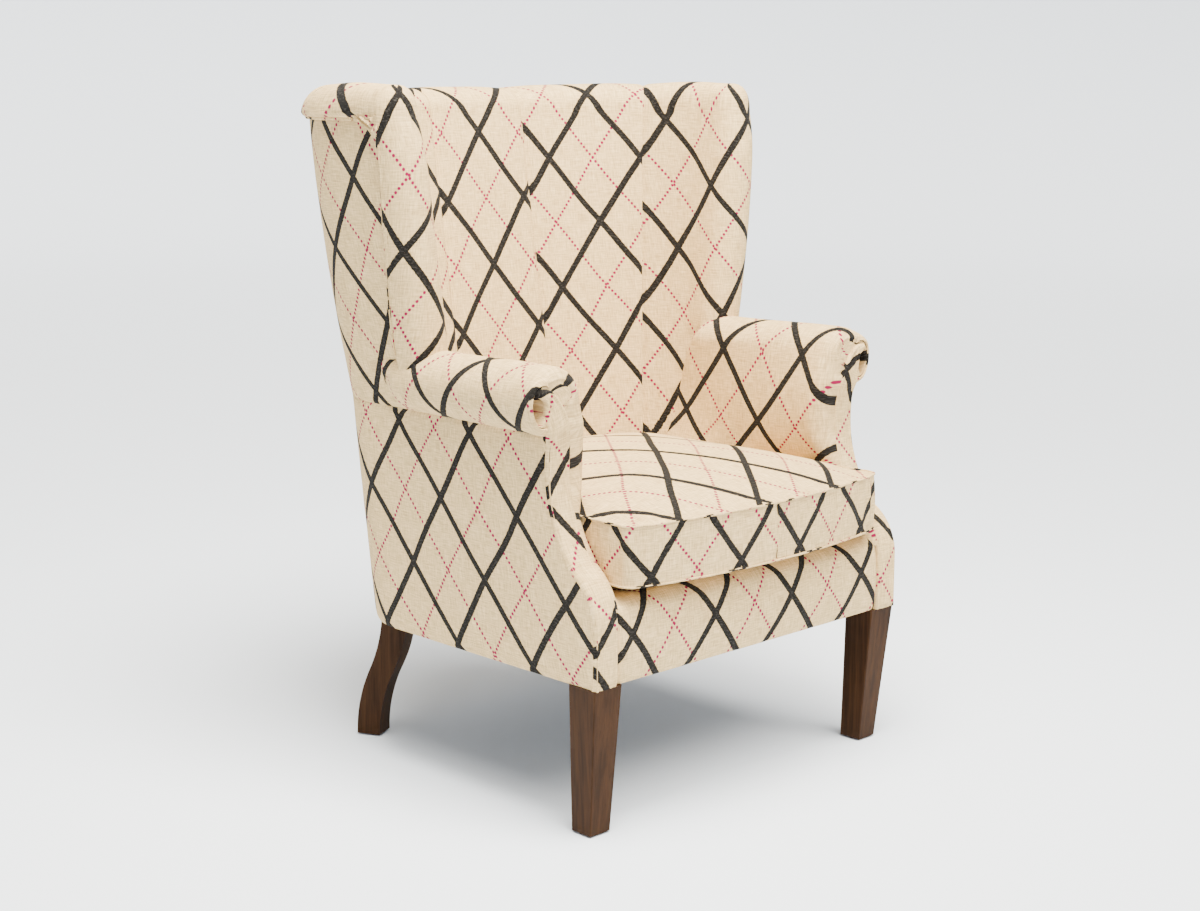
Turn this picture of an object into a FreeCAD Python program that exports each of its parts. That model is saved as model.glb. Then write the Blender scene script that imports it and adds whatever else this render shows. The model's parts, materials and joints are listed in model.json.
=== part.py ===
import FreeCAD, Part
import math
import os
from FreeCAD import Vector

# Upholstered wing chair with scroll arms, a rounded back and one loose box cushion.
# Millimetres. +Z up, the sitter faces -Y, +X is the right side of a person looking at the front.
# The origin lies on the floor under the middle of the chair.

# Heights above the floor
glide_height = 3.0
leg_height = 230.0
dust_cover_thickness = 2.0
rail_height = 86.0
deck_top = leg_height + 126.0
border_underside = deck_top - 32.0
roll_centre_height = deck_top + 279.0
roof_height = roll_centre_height + 396.0
crest_rise = 48.0
crest_height = roof_height + crest_rise

# Plan of the outside, from the seat up to the shoulder
base_half_width = 342.0
shoulder_half_width = base_half_width + 48.0
flare_power = 1.72
base_rear = 263.7
rear_rake = 0.1545
base_corner_radius = 136.0
corner_growth = 76.0
corner_growth_power = 1.8
back_arc_radius = 700.0
back_arc_growth = 0.094
base_front = -369.0

# Plan of the inside, where the pads start behind the cushion and where they end under the crest
well_half_width = base_half_width - 85.5
shoulder_inside = shoulder_half_width - 56.8
well_rear = base_rear - 94.4
shoulder_rear = base_rear + 17.0
inside_arc_radius = 600.0
well_corner_radius = 121.6
shoulder_corner_radius = 193.0

# Covers and pads
cover = 3.0
back_pad = 36.0
webbing = 2.0
crest_overhang = 12.0
crest_draw = 32.0
nose_lean_height = 90.0
seam_half_width = 100.0
arm_seam_y = 85.0
wing_welt_y = arm_seam_y
wing_nose_y = arm_seam_y - 57.0
facing_depth = 10.0
facing_inner = base_half_width - 45.0
welt_radius = 2.6

# Scroll arm
roll_front_x = base_half_width - 15.0
roll_rear_x = base_half_width - 23.0
roll_front_radius = 49.0
roll_rear_radius = 46.0
arm_front = base_front + 92.0
arm_seat_front = base_half_width - 54.0
arm_seat_rear = base_half_width - 80.0
arm_bulge_front = base_half_width - 90.0
arm_bulge_rear = base_half_width - 61.0

# Timber frame
rail_thickness = 28.0
post_width = 45.0
wing_post_width = 50.0
wing_post_thickness = 25.0
wing_post_front = wing_nose_y - 4.0
top_rail_depth = 70.0
lower_rail_rise = 90.0
lower_rail_depth = 60.0
arm_rail_width = 34.0
arm_rail_height = 40.0
block_leg = 95.0
block_height = 60.0

# Legs
front_leg_top = 55.0
front_leg_foot = 40.5
front_leg_inset_x = 12.0
front_leg_inset_y = 22.0
edge_ease = 1.5
rear_leg_width = 40.0
rear_leg_top_depth = 45.0
rear_leg_foot_depth = 41.0
rear_leg_kick = 52.0
rear_leg_turn = 28.0
rear_leg_x = base_half_width - 103.0
rear_leg_y = base_rear - 55.7
glide_radius = 11.0
bolt_radius = 4.0
bolt_in_leg = 34.0
bolt_in_rail = 30.0
bolt_clearance = 0.05

# Seat springs and back webbing
spring_wire = 3.6
spring_half_width = 25.0
spring_bend_radius = 20.0
spring_spacing = 106.0
spring_count = 4
spring_end_bearing = 6.0
clip_sheet = 0.8
clip_width = 8.0
clip_length = 12.0
strap_height = 48.0
strap_count = 5
strap_margin = 119.0

# Loose cushion
cushion_gap = 0.3
cushion_front_half = arm_seat_front - 4.0
cushion_rear_half = arm_seat_rear - 4.5
cushion_front = base_front - 3.0
cushion_bow = 33.1
cushion_rear = well_rear + 1.7
cushion_corner_radius = 124.0
cushion_seam_low = deck_top + 18.0
cushion_seam_high = cushion_seam_low + 86.0
cushion_crown = 61.0
cushion_waist = 4.0

# Zip in the rear border of the cushion
tape_height = 24.0
tape_thickness = 1.2
chain_height = 6.0
zip_half_angle = math.degrees(0.732 * cushion_rear_half / inside_arc_radius)
slider_length = 12.0
slider_height = 9.0
slider_wall = 2.4
pull_length = 22.0
pull_height = 6.0
pull_thickness = 1.2
running_gap = 0.3

# Chords that stand for the round stretches
corner_chord_count = 8
back_chord_count = 8
nose_chord_count = 5
roll_chord_count = 12
spring_chord_count = 3
welt_chord_count = 6
flare_band_count = 4

# Room that trimming solids reach past the chair
beyond = 600.0

sides = {"left": -1.0, "right": 1.0}
base_height = leg_height
frame_foot = base_height + dust_cover_thickness
rail_top = frame_foot + rail_height
inner_arc_front = base_front - 200.0
deck_underside = rail_top + clip_sheet + spring_wire
pad_foot_height = deck_underside


def mix(low, high, share):
    return low + (high - low) * share


def segment(a, b):
    return Part.LineSegment(a, b).toShape()


def arc(a, middle, b):
    return Part.Arc(a, middle, b).toShape()


# A round stretch of an outline as the corners of equal chords
def chords(a, middle, b, count):
    curve = Part.Arc(a, middle, b)
    inner = [curve.value(mix(curve.FirstParameter, curve.LastParameter, i / count)) for i in range(1, count)]
    return [a] + inner + [b]


def flat_face(corners):
    return Part.Face(Part.makePolygon(corners + corners[:1]))


# One panel between two outlines: a flat quad where its corners allow, or else two triangles that
# meet on the shorter diagonal, so that the left and right halves match
def panel(a, b, c, d):
    across = c.sub(a).cross(d.sub(b))
    twist = abs(b.sub(a).dot(across)) / across.Length
    if twist < 1e-7:
        return [flat_face([a, b, c, d])]
    if c.sub(a).Length < d.sub(b).Length:
        return [flat_face([a, b, c]), flat_face([a, c, d])]
    return [flat_face([a, b, d]), flat_face([b, c, d])]


# A closed solid over a stack of outlines that all have the same number of corners
def skin(rows):
    faces = [flat_face(rows[0]), flat_face(rows[-1])]
    for low, high in zip(rows, rows[1:]):
        ring = list(zip(low, low[1:] + low[:1], high[1:] + high[:1], high))
        for a, b, c, d in ring:
            faces += panel(a, b, c, d)
    solid = Part.makeSolid(Part.makeShell(faces))
    if solid.Volume < 0:
        solid.reverse()
    return solid


def box(low, high):
    size = high.sub(low)
    return Part.makeBox(size.x, size.y, size.z, low)


def polygon_prism(points, low, high):
    corners = [Vector(x, y, low) for x, y in points]
    face = Part.Face(Part.makePolygon(corners + corners[:1]))
    return face.extrude(Vector(0, 0, high - low))


def mirrored(shape):
    return shape.mirror(Vector(0, 0, 0), Vector(1, 0, 0))


def on_side(shape, side):
    return shape if sides[side] > 0 else mirrored(shape)


# The right half as far as it joins the middle plane, and its mirror image, as one solid
def doubled(shape, cutters):
    half = shape.common(box(Vector(0, -beyond, 0), Vector(beyond, beyond, crest_height + 50)))
    for cutter in cutters:
        half = half.cut(cutter)
    middle = min(half.Solids, key=lambda s: s.BoundBox.XMin)
    return clean(middle.fuse(mirrored(middle)))


def clean(shape):
    solids = shape.removeSplitter().Solids
    return solids[0] if len(solids) == 1 else Part.makeCompound(solids)


def save(shape, name):
    shape.exportStep("parts/" + name + ".step")


# One plan curve: a wide arc across the back, a corner arc at each side, tangent to straight sides
def plan_points(half, rear, back_radius, corner_radius, level):
    reach = half - corner_radius
    span = back_radius - corner_radius
    drop = math.sqrt(span ** 2 - reach ** 2)
    side_y = rear - back_radius + drop
    join_x = back_radius * reach / span
    join_y = rear - back_radius + math.sqrt(back_radius ** 2 - join_x ** 2)
    start = math.atan2(join_y - side_y, join_x - reach)
    bend_x = reach + corner_radius * math.cos(start / 2)
    bend_y = side_y + corner_radius * math.sin(start / 2)
    return {
        "side": Vector(half, side_y, level),
        "bend": Vector(bend_x, bend_y, level),
        "join": Vector(join_x, join_y, level),
        "rear": Vector(0, rear, level),
    }


def flip(point):
    return Vector(-point.x, point.y, point.z)


def plan_curve(points):
    corner = chords(points["side"], points["bend"], points["join"], corner_chord_count)
    rear = chords(points["join"], points["rear"], flip(points["join"]), back_chord_count)
    return corner + rear[1:-1] + [flip(point) for point in corner[::-1]]


def closed_plan(points, front):
    right = Vector(points["side"].x, front, points["side"].z)
    return [right] + plan_curve(points) + [flip(right)]


# The sides stand upright to the arm's seam and then spread, more and more gently, to the shoulder
def outside_half(level):
    share = min(1.0, max(0.0, (level - seam_height) / (roof_height - seam_height)))
    return mix(base_half_width, shoulder_half_width, 1 - (1 - share) ** flare_power)


# The corner is tight over the legs and opens out towards the shoulder
def outside_corner(level):
    share = (level - base_height) / (roof_height - base_height)
    return base_corner_radius + corner_growth * share ** corner_growth_power


def outside_points(level, inset):
    risen = level - base_height
    return plan_points(
        outside_half(level) - inset,
        base_rear + rear_rake * risen - inset,
        back_arc_radius + back_arc_growth * risen - inset,
        outside_corner(level) - inset,
        level,
    )


def outside_solid(inset):
    levels = [base_height] + [mix(seam_height, roof_height, i / flare_band_count) for i in range(flare_band_count + 1)]
    return skin([closed_plan(outside_points(level, inset), base_front) for level in levels])


def inside_share(level):
    return (level - pad_foot_height) / (roof_height - pad_foot_height)


def inside_points(level, grow):
    share = inside_share(level)
    return plan_points(
        mix(well_half_width, shoulder_inside, share) + grow,
        mix(well_rear, shoulder_rear, share) + grow,
        inside_arc_radius + grow,
        mix(well_corner_radius, shoulder_corner_radius, share) + grow,
        level,
    )


def inside_solid(grow):
    levels = (pad_foot_height, roof_height)
    return skin([closed_plan(inside_points(level, grow), inner_arc_front) for level in levels])


def slab(low, high):
    return box(Vector(-beyond, -beyond, low), Vector(beyond, beyond, high))


# The level where the scroll's underside meets the flat outside arm
cover_line = base_half_width - cover
seam_drop = math.sqrt(roll_front_radius ** 2 - (cover_line - roll_front_x) ** 2)
seam_height = roll_centre_height - seam_drop
roll_top = roll_centre_height + roll_front_radius


# Upright planes that part the outside back from the sides, and the wings from the inside back
def rear_zone(low_point, high_point):
    along = high_point.sub(low_point)
    along.normalize()
    inner = low_point - along * (beyond / 2)
    outer = high_point + along * (beyond / 2)
    edge = [(inner.x, inner.y), (outer.x, outer.y), (outer.x, beyond)]
    points = edge + [(-x, y) for x, y in edge[::-1]]
    return polygon_prism(points, 0, crest_height + 50)


def flat(point):
    return Vector(point.x, point.y, 0)


def build_zones():
    zones = {}
    low = outside_points(base_height, 0)["bend"]
    high = outside_points(roof_height, 0)["bend"]
    zones["outside_back"] = rear_zone(flat(low), flat(high))
    low = inside_points(seam_height, 0)["bend"]
    high = inside_points(roof_height, 0)["bend"]
    zones["inside_back"] = rear_zone(flat(low), flat(high))
    return zones


# Side profile of the front of the arm: a hollow sweep that turns out again over the base
def front_profile(shift):
    start = Vector(0, arm_front + shift, roll_centre_height - 41)
    hollow_mid = Vector(0, arm_front + 1 + shift, mix(deck_top, roll_centre_height, 0.46))
    hollow_end = Vector(0, arm_front - 48 + shift, deck_top + 38)
    toe_mid = Vector(0, base_front + 12 + shift, deck_top + 6)
    toe = Vector(0, base_front + shift, border_underside)
    top = Vector(0, arm_front + shift, crest_height)
    foot = Vector(0, base_front + shift, base_height)
    back_foot = Vector(0, beyond, base_height)
    back_top = Vector(0, beyond, crest_height)
    edges = [
        segment(top, start),
        arc(start, hollow_mid, hollow_end),
        arc(hollow_end, toe_mid, toe),
        segment(toe, foot),
        segment(foot, back_foot),
        segment(back_foot, back_top),
        segment(back_top, top),
    ]
    face = Part.Face(Part.Wire(edges))
    face.translate(Vector(-beyond, 0, 0))
    return face.extrude(Vector(2 * beyond, 0, 0))


# The curved line, seen from the side, where the inside arm ends against the back
def arm_seam_zone(near, far):
    low = Vector(0, arm_seam_y, base_height)
    turn = Vector(0, arm_seam_y, mix(deck_top, roll_top, 0.26))
    middle = Vector(0, arm_seam_y - 27, mix(deck_top, roll_top, 0.704))
    top = Vector(0, arm_seam_y - 73, roll_top)
    front_top = Vector(0, -beyond, roll_top)
    front_low = Vector(0, -beyond, base_height)
    edges = [
        segment(low, turn),
        arc(turn, middle, top),
        segment(top, front_top),
        segment(front_top, front_low),
        segment(front_low, low),
    ]
    face = Part.Face(Part.Wire(edges))
    face.translate(Vector(near, 0, 0))
    return face.extrude(Vector(far - near, 0, 0))


# Full section of one arm on the +X side, before the frame and the front are cut from it
def arm_section(y, roll_x, radius, seat_half, bulge_half):
    centre = Vector(roll_x, y, roll_centre_height - (roll_front_radius - radius))

    def on_roll(degrees):
        turn = math.radians(degrees)
        return centre + Vector(math.cos(turn), 0, math.sin(turn)) * radius

    under_angle = -math.degrees(math.acos((cover_line - roll_x) / radius))
    under = on_roll(under_angle)
    low = Vector(seat_half, y, rail_top + 2)
    lip = Vector(seat_half, y, mix(deck_top, roll_centre_height, 0.385))
    swell = Vector(bulge_half, y, mix(deck_top, roll_centre_height, 0.668))
    rim = on_roll(165)
    inside = base_half_width - cover - rail_thickness
    outline = [low] + chords(lip, swell, rim, roll_chord_count // 2)
    outline += chords(rim, on_roll(85), on_roll(0), roll_chord_count)[1:]
    outline += chords(on_roll(0), on_roll(under_angle / 2), under, roll_chord_count // 3)[1:]
    return outline + [Vector(inside, y, under.z), Vector(inside, y, rail_top + 2)]


def arm_body():
    front = arm_section(base_front, roll_front_x, roll_front_radius, arm_seat_front, arm_bulge_front)
    rear = arm_section(arm_seam_y, roll_rear_x, roll_rear_radius, arm_seat_rear, arm_bulge_rear)
    return skin([front, rear])


# Timber frame
def build_rails(shells, zones):
    rails = {}
    face_x = base_half_width - cover
    inner_x = face_x - rail_thickness
    front_face = base_front + facing_depth
    rails["front_rail"] = box(
        Vector(-inner_x, front_face, frame_foot),
        Vector(inner_x, front_face + rail_thickness, rail_top),
    )
    ring = shells["cover"].cut(shells["rail"])
    rear = ring.common(zones["outside_back"])
    rails["back_rail"] = rear.common(slab(frame_foot, rail_top))
    lower_foot = rail_top + lower_rail_rise
    rails["lower_back_rail"] = rear.common(slab(lower_foot, lower_foot + lower_rail_depth))
    rails["top_rail"] = rear.common(slab(roof_height - top_rail_depth, roof_height))
    return rails


def side_rail(shells, post, back_post):
    face_x = base_half_width - cover
    low = Vector(face_x - rail_thickness, base_front + facing_depth, frame_foot)
    high = Vector(face_x, well_rear, rail_top)
    return box(low, high).common(shells["cover"]).cut(post).cut(back_post)


# Front upright of the arm: it follows the sweep of the arm's front, narrow at the waist
def arm_post(behind_front):
    face_x = base_half_width - cover
    top_z = seam_height + 2.5
    points = [
        Vector(0, -beyond, frame_foot),
        Vector(0, base_front + 85, frame_foot),
        Vector(0, base_front + 85, rail_top + 12),
        Vector(0, arm_front + 62, mix(deck_top, seam_height, 0.32)),
        Vector(0, arm_front + 62, top_z),
        Vector(0, -beyond, top_z),
    ]
    face = Part.Face(Part.makePolygon(points + points[:1]))
    face.translate(Vector(face_x - rail_thickness, 0, 0))
    return face.extrude(Vector(rail_thickness, 0, 0)).common(behind_front)


def arm_rail(shells, back_post):
    face_x = base_half_width - cover
    low = Vector(face_x - arm_rail_width, arm_front + facing_depth + 1, seam_height + 2.5)
    high = Vector(face_x, well_rear + 30, seam_height + 2.5 + arm_rail_height)
    bar = box(low, high)
    tops = [e for e in bar.Edges if e.BoundBox.ZMin > high.z - 1 and e.BoundBox.YLength > 100]
    return bar.makeFillet(9, tops).common(shells["cover"]).cut(back_post)


# Rear upright in the rounded corner, raked and spread as the shell is
def back_post(shells, inner_face):
    rows = []
    turn = math.radians(45)
    out = Vector(math.cos(turn), math.sin(turn), 0)
    across = Vector(-math.sin(turn), math.cos(turn), 0)
    for level in (frame_foot, seam_height, roof_height):
        points = outside_points(level, 0)
        radius = outside_corner(level)
        centre = Vector(points["side"].x - radius, points["side"].y, level)
        near = centre + out * (radius - 110)
        far = centre + out * (radius + 20)
        half = across * (post_width / 2)
        rows.append([near - half, far - half, far + half, near + half])
    return skin(rows).common(shells["cover"]).cut(inner_face)


# Front upright of the wing, standing on the arm rail and leaning out with the wing
def wing_post():
    foot = seam_height + 2.5 + arm_rail_height
    top_x = shoulder_half_width - cover - 2
    foot_x = base_half_width - cover
    rows = []
    y = wing_post_front
    for level, x in ((foot, foot_x), (roof_height, top_x)):
        rows.append([
            Vector(x, y, level),
            Vector(x, y + wing_post_width, level),
            Vector(x - wing_post_thickness, y + wing_post_width, level),
            Vector(x - wing_post_thickness, y, level),
        ])
    return skin(rows)


def wing_rail(shells, zones, post, upright):
    ring = shells["cover"].cut(shells["rail"]).cut(zones["outside_back"])
    low = Vector(0, wing_post_front + wing_post_width, roof_height - 45)
    strip = ring.common(box(low, Vector(beyond, beyond, roof_height)))
    return strip.cut(post).cut(upright)


def corner_block_front():
    x = base_half_width - cover - rail_thickness
    y = base_front + facing_depth + rail_thickness
    points = [(x, y), (x, y + block_leg), (x - block_leg, y)]
    return polygon_prism(points, frame_foot, frame_foot + block_height)


def corner_block_rear(shells, solids):
    x = base_half_width - cover - rail_thickness
    points = [(x, 30), (x, well_rear - 20), (x - 110, well_rear + 60), (x - 125, well_rear + 40)]
    block = polygon_prism(points, frame_foot, frame_foot + block_height).common(shells["rail"])
    for solid in solids:
        block = block.cut(solid)
    return block.Solids[0]


# A square with its corners taken off by a small ease
def eased_square(low, size):
    corners = []
    for x, y in ((0, 0), (1, 0), (1, 1), (0, 1)):
        into_x = edge_ease if x == 0 else -edge_ease
        into_y = edge_ease if y == 0 else -edge_ease
        corner = low + Vector(x * size, y * size, 0)
        pair = [corner + Vector(into_x, 0, 0), corner + Vector(0, into_y, 0)]
        corners += pair if x != y else pair[::-1]
    return corners


def front_leg():
    top_x = base_half_width
    top_y = base_front
    foot_x = top_x - front_leg_inset_x
    foot_y = top_y + front_leg_inset_y
    rows = []
    for level, x, y, size in (
        (glide_height, foot_x, foot_y, front_leg_foot),
        (leg_height, top_x, top_y, front_leg_top),
    ):
        rows.append(eased_square(Vector(x - size, y, level), size))
    return skin(rows)


def front_bolt_axis():
    return Vector(base_half_width - cover - rail_thickness + 10, base_front + 27, 0)


# Half of an S: an arc that starts upright at one end and meets its twin at the middle
def sabre_edge(offset_top, offset_foot):
    height = leg_height - glide_height
    middle = Vector((offset_top + offset_foot) / 2, 0, glide_height + height / 2)
    top = Vector(offset_top, 0, leg_height)
    foot = Vector(offset_foot, 0, glide_height)
    rise = height / 2
    run = (offset_foot - offset_top) / 2
    radius = (rise ** 2 + run ** 2) / (2 * run)
    half_turn = math.asin(rise / radius) / 2
    upper = Vector(offset_top + radius * (1 - math.cos(half_turn)), 0, leg_height - radius * math.sin(half_turn))
    lower = Vector(offset_foot - radius * (1 - math.cos(half_turn)), 0, glide_height + radius * math.sin(half_turn))
    return [arc(top, upper, middle), arc(middle, lower, foot)]


def rear_leg():
    half_top = rear_leg_top_depth / 2
    half_foot = rear_leg_foot_depth / 2
    back = sabre_edge(half_top, rear_leg_kick + half_foot)
    front = sabre_edge(-half_top, rear_leg_kick - half_foot)
    foot = segment(back[-1].Vertexes[-1].Point, front[-1].Vertexes[-1].Point)
    top = segment(front[0].Vertexes[0].Point, back[0].Vertexes[0].Point)
    face = Part.Face(Part.Wire(Part.__sortEdges__(back + [foot] + front + [top])))
    face.translate(Vector(0, -rear_leg_width / 2, 0))
    leg = face.extrude(Vector(0, rear_leg_width, 0))
    leg.rotate(Vector(0, 0, 0), Vector(0, 0, 1), 90 - rear_leg_turn)
    leg.translate(Vector(rear_leg_x, rear_leg_y, 0))
    return leg


def rear_foot_centre():
    turn = math.radians(90 - rear_leg_turn)
    kick = Vector(math.cos(turn), math.sin(turn), 0) * rear_leg_kick
    return Vector(rear_leg_x, rear_leg_y, 0) + kick


def rear_bolt_axis():
    return Vector(rear_leg_x, rear_leg_y, 0)


def front_foot_centre():
    x = base_half_width - front_leg_inset_x - front_leg_foot / 2
    y = base_front + front_leg_inset_y + front_leg_foot / 2
    return Vector(x, y, 0)


def bolt(axis, radius):
    low = axis + Vector(0, 0, leg_height - bolt_in_leg)
    length = bolt_in_leg + dust_cover_thickness + bolt_in_rail
    return Part.makeCylinder(radius, length, low)


# Where one seat spring runs: its place across the seat, and its end bars on the front and back rails
def spring_run(index):
    x = (index - (spring_count - 1) / 2) * spring_spacing
    front = base_front + facing_depth + rail_thickness - spring_end_bearing
    rail_face = outside_points(rail_top, cover + rail_thickness)["rear"].y
    rear = rail_face - x ** 2 / (2 * back_arc_radius) + spring_end_bearing
    return x, front, rear


# A flat zigzag spring: straight bars across, half turns at the ends, as one closed outline
def zigzag_spring(x, front, rear):
    level = rail_top + clip_sheet
    count = round((rear - front) / (2 * spring_bend_radius))
    bend_radius = (rear - front) / (2 * count)
    half = spring_wire / 2
    straight = spring_half_width - bend_radius
    direction = 1
    left = []
    right = []
    for index in range(count + 1):
        y = front + index * 2 * bend_radius
        begin = x - direction * straight
        end = x + direction * straight
        left.append(segment(Vector(begin, y + half, level), Vector(end, y + half, level)))
        right.append(segment(Vector(begin, y - half, level), Vector(end, y - half, level)))
        if index == count:
            break
        centre = Vector(end, y + bend_radius, level)
        for edges, radius in ((left, bend_radius - half), (right, bend_radius + half)):
            a = centre + Vector(0, -radius, 0)
            middle = centre + Vector(direction * radius, 0, 0)
            b = centre + Vector(0, radius, 0)
            turn = chords(a, middle, b, spring_chord_count)
            edges += [segment(p, q) for p, q in zip(turn, turn[1:])]
        left, right = right, left
        direction = -direction
    caps = []
    for edge_a, edge_b, place in ((left[0], right[0], 0), (left[-1], right[-1], -1)):
        caps.append(segment(edge_a.Vertexes[place].Point, edge_b.Vertexes[place].Point))
    face = Part.Face(Part.Wire(Part.__sortEdges__(left + right + caps)))
    return face.extrude(Vector(0, 0, spring_wire))


# A strip folded round a spring's end bar, closed on the side away from the seat
def spring_clip(x, bar_y, outward):
    half = spring_wire / 2
    back = bar_y + outward * (half + clip_sheet)
    lip = back - outward * clip_length
    low = Vector(x - clip_width / 2, min(back, lip), rail_top)
    high = Vector(x + clip_width / 2, max(back, lip), rail_top + spring_wire + 2 * clip_sheet)
    inner = bar_y + outward * half
    mouth = lip - outward
    channel_low = Vector(x - clip_width, min(inner, mouth), rail_top + clip_sheet)
    channel_high = Vector(x + clip_width, max(inner, mouth), rail_top + clip_sheet + spring_wire)
    return box(low, high).cut(box(channel_low, channel_high))


# Nose of the wing: a half round that joins the inside to the outside at the wing's front edge
def nose_points(level):
    inside = inside_points(min(level, roof_height), 0)["side"].x
    share = max(0.0, min(1.0, (level - roll_top) / (roof_height - roll_top)))
    outer = outside_half(min(level, roof_height)) + mix(4, crest_overhang, share)
    inner = inside - mix(5, 0, share)
    radius = (outer - inner) / 2
    return inner, outer, radius


def nose_y(level):
    lean = max(0.0, (level - roof_height + nose_lean_height) / nose_lean_height)
    return wing_nose_y + 20 * lean ** 2


def nose_section(level):
    inner, outer, radius = nose_points(level)
    y = nose_y(level)
    middle = (inner + outer) / 2
    slant = radius * math.cos(math.radians(45))
    slab_line = inside_points(level, back_pad)["side"].x
    inner_face = inside_points(level, 0)["side"].x
    a = Vector(inner_face, arm_seam_y + 30, level)
    b = Vector(inner, y, level)
    c = Vector(middle, y - radius, level)
    d = Vector(outer, y, level)
    e = Vector(outside_half(level) + 2, wing_welt_y, level)
    f = Vector(slab_line, wing_welt_y, level)
    g = Vector(slab_line, arm_seam_y + 30, level)
    outline = [a] + chords(b, Vector(middle - slant, y - slant, level), c, nose_chord_count)
    outline += chords(c, Vector(middle + slant, y - slant, level), d, nose_chord_count)[1:]
    return outline + [e, f, g]


def wing_nose():
    middle = mix(roll_top, roof_height, 0.32)
    lean_levels = (roof_height - nose_lean_height, roof_height - nose_lean_height / 2)
    levels = (roll_top - 22, middle) + lean_levels + (roof_height,)
    return skin([nose_section(level) for level in levels])


# The padded crest: level outlines that draw in from both sides as they rise
def crest_section(level, draw, y):
    inner, outer, radius = nose_points(roof_height)
    radius = radius - draw
    middle = (inner + outer) / 2
    slant = radius * math.cos(math.radians(45))
    inside = inside_points(roof_height, draw)
    outside = outside_points(roof_height, draw - crest_overhang)
    for points in (inside, outside):
        for key in points:
            points[key].z = level
    a = Vector(inside["side"].x, y, level)
    b = Vector(middle, y - radius, level)
    c = Vector(outside["side"].x, y, level)
    bend_in = Vector(middle - slant, y - slant, level)
    bend_out = Vector(middle + slant, y - slant, level)
    tip = chords(a, bend_in, b, nose_chord_count) + chords(b, bend_out, c, nose_chord_count)[1:]
    return plan_curve(outside) + [flip(point) for point in tip[::-1]] + plan_curve(inside)[::-1] + tip


def crest():
    rise = crest_height - roof_height
    rows = []
    for degrees in (0, 20, 38, 54, 68, 84):
        turn = math.radians(degrees)
        level = roof_height + rise * math.sin(turn) / math.sin(math.radians(84))
        draw = crest_draw * (1 - math.cos(turn))
        rows.append(crest_section(level, draw, nose_y(roof_height) + 12 * (1 - math.cos(turn))))
    return skin(rows)


def inside_panels(shells, zones, posts):
    ring = shells["pad_back"].cut(shells["inside"])
    roof = crest()
    rear = ring.common(zones["inside_back"]).fuse(roof.common(zones["inside_back"]))
    middle = box(Vector(-seam_half_width, -beyond, 0), Vector(seam_half_width, beyond, crest_height + 50))
    right = box(Vector(seam_half_width, -beyond, 0), Vector(beyond, beyond, crest_height + 50))
    panels = {"inside_back_centre": clean(rear.common(middle))}
    panels["inside_back_right"] = clean(rear.common(right))
    # The wing's pad runs on down to the seat behind the arm
    flank = ring.cut(zones["inside_back"]).common(box(Vector(0, 0, 0), Vector(beyond, beyond, crest_height)))
    flank = flank.cut(arm_seam_zone(0, beyond))
    wing = flank.fuse(wing_nose().cut(arm_body())).fuse(roof.cut(zones["inside_back"]).common(right))
    for post in posts:
        wing = wing.cut(post)
    panels["inside_wing_right"] = clean(wing)
    return panels


def inside_arm(wing, front_border, solids, behind_front):
    pad = arm_body().common(behind_front)
    past_seam = box(Vector(100, 0, 0), Vector(300, arm_seam_y + 5, roll_top)).cut(arm_seam_zone(0, beyond))
    pad = pad.cut(past_seam).cut(wing).cut(front_border)
    for solid in solids:
        pad = pad.cut(solid)
    return clean(pad)


# Front panel of the arm: a strip up the sweep of the arm that ends in a disc inside the scroll
def arm_facing(behind_front, behind_facing):
    disc_radius = roll_front_radius - 13
    deep = Vector(0, beyond, 0)
    points = [
        Vector(facing_inner, base_front - 5, base_height),
        Vector(base_half_width, base_front - 5, base_height),
        Vector(base_half_width - 4, base_front - 5, roll_centre_height),
        Vector(facing_inner, base_front - 5, roll_centre_height),
    ]
    strip = Part.Face(Part.makePolygon(points + points[:1])).extrude(deep)
    centre = Vector(roll_front_x, base_front - 5, roll_centre_height)
    disc = Part.makeCylinder(disc_radius, beyond, centre, Vector(0, 1, 0))
    return clean(strip.fuse(disc).common(behind_front).cut(behind_facing))


def outside_arm(shells, zones, behind_front, facing):
    skin = shells["outer"].cut(shells["cover"]).cut(zones["outside_back"])
    strip = box(Vector(0, arm_seam_y, base_height), Vector(beyond, beyond, seam_height))
    rear = skin.common(strip)
    low = Vector(base_half_width - cover, base_front, base_height)
    plate = box(low, Vector(base_half_width, arm_seam_y, seam_height))
    return clean(plate.common(behind_front).fuse(rear).cut(facing))


def outside_wing(shells, zones):
    skin = shells["outer"].cut(shells["cover"]).cut(zones["outside_back"])
    strip = box(Vector(0, wing_welt_y, seam_height), Vector(beyond, beyond, roof_height))
    return clean(skin.common(strip))


def outside_back(shells, zones):
    skin = shells["outer"].cut(shells["cover"]).common(zones["outside_back"])
    return clean(skin)


# Front border: a padded panel over the front rail, with a swelling edge that carries the cushion
def front_border_pad():
    front = base_front + 3
    rail_face = base_front + facing_depth
    rail_back = rail_face + rail_thickness
    low = Vector(0, front, base_height)
    swell = Vector(0, front - 7, rail_top - 30)
    upper = Vector(0, front - 2, rail_top + 18)
    brow = Vector(0, front + 8, deck_top - 8)
    crown = Vector(0, front + 30, deck_top)
    back_top = Vector(0, rail_back + 30, deck_top)
    back_low = Vector(0, rail_back + 30, border_underside)
    edge = Vector(0, rail_face, border_underside)
    foot = Vector(0, rail_face, base_height)
    edges = [
        arc(low, swell, upper),
        arc(upper, brow, crown),
        segment(crown, back_top),
        segment(back_top, back_low),
        segment(back_low, edge),
        segment(edge, foot),
        segment(foot, low),
    ]
    face = Part.Face(Part.Wire(edges))
    face.translate(Vector(-facing_inner, 0, 0))
    return face.extrude(Vector(2 * facing_inner, 0, 0))


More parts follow.
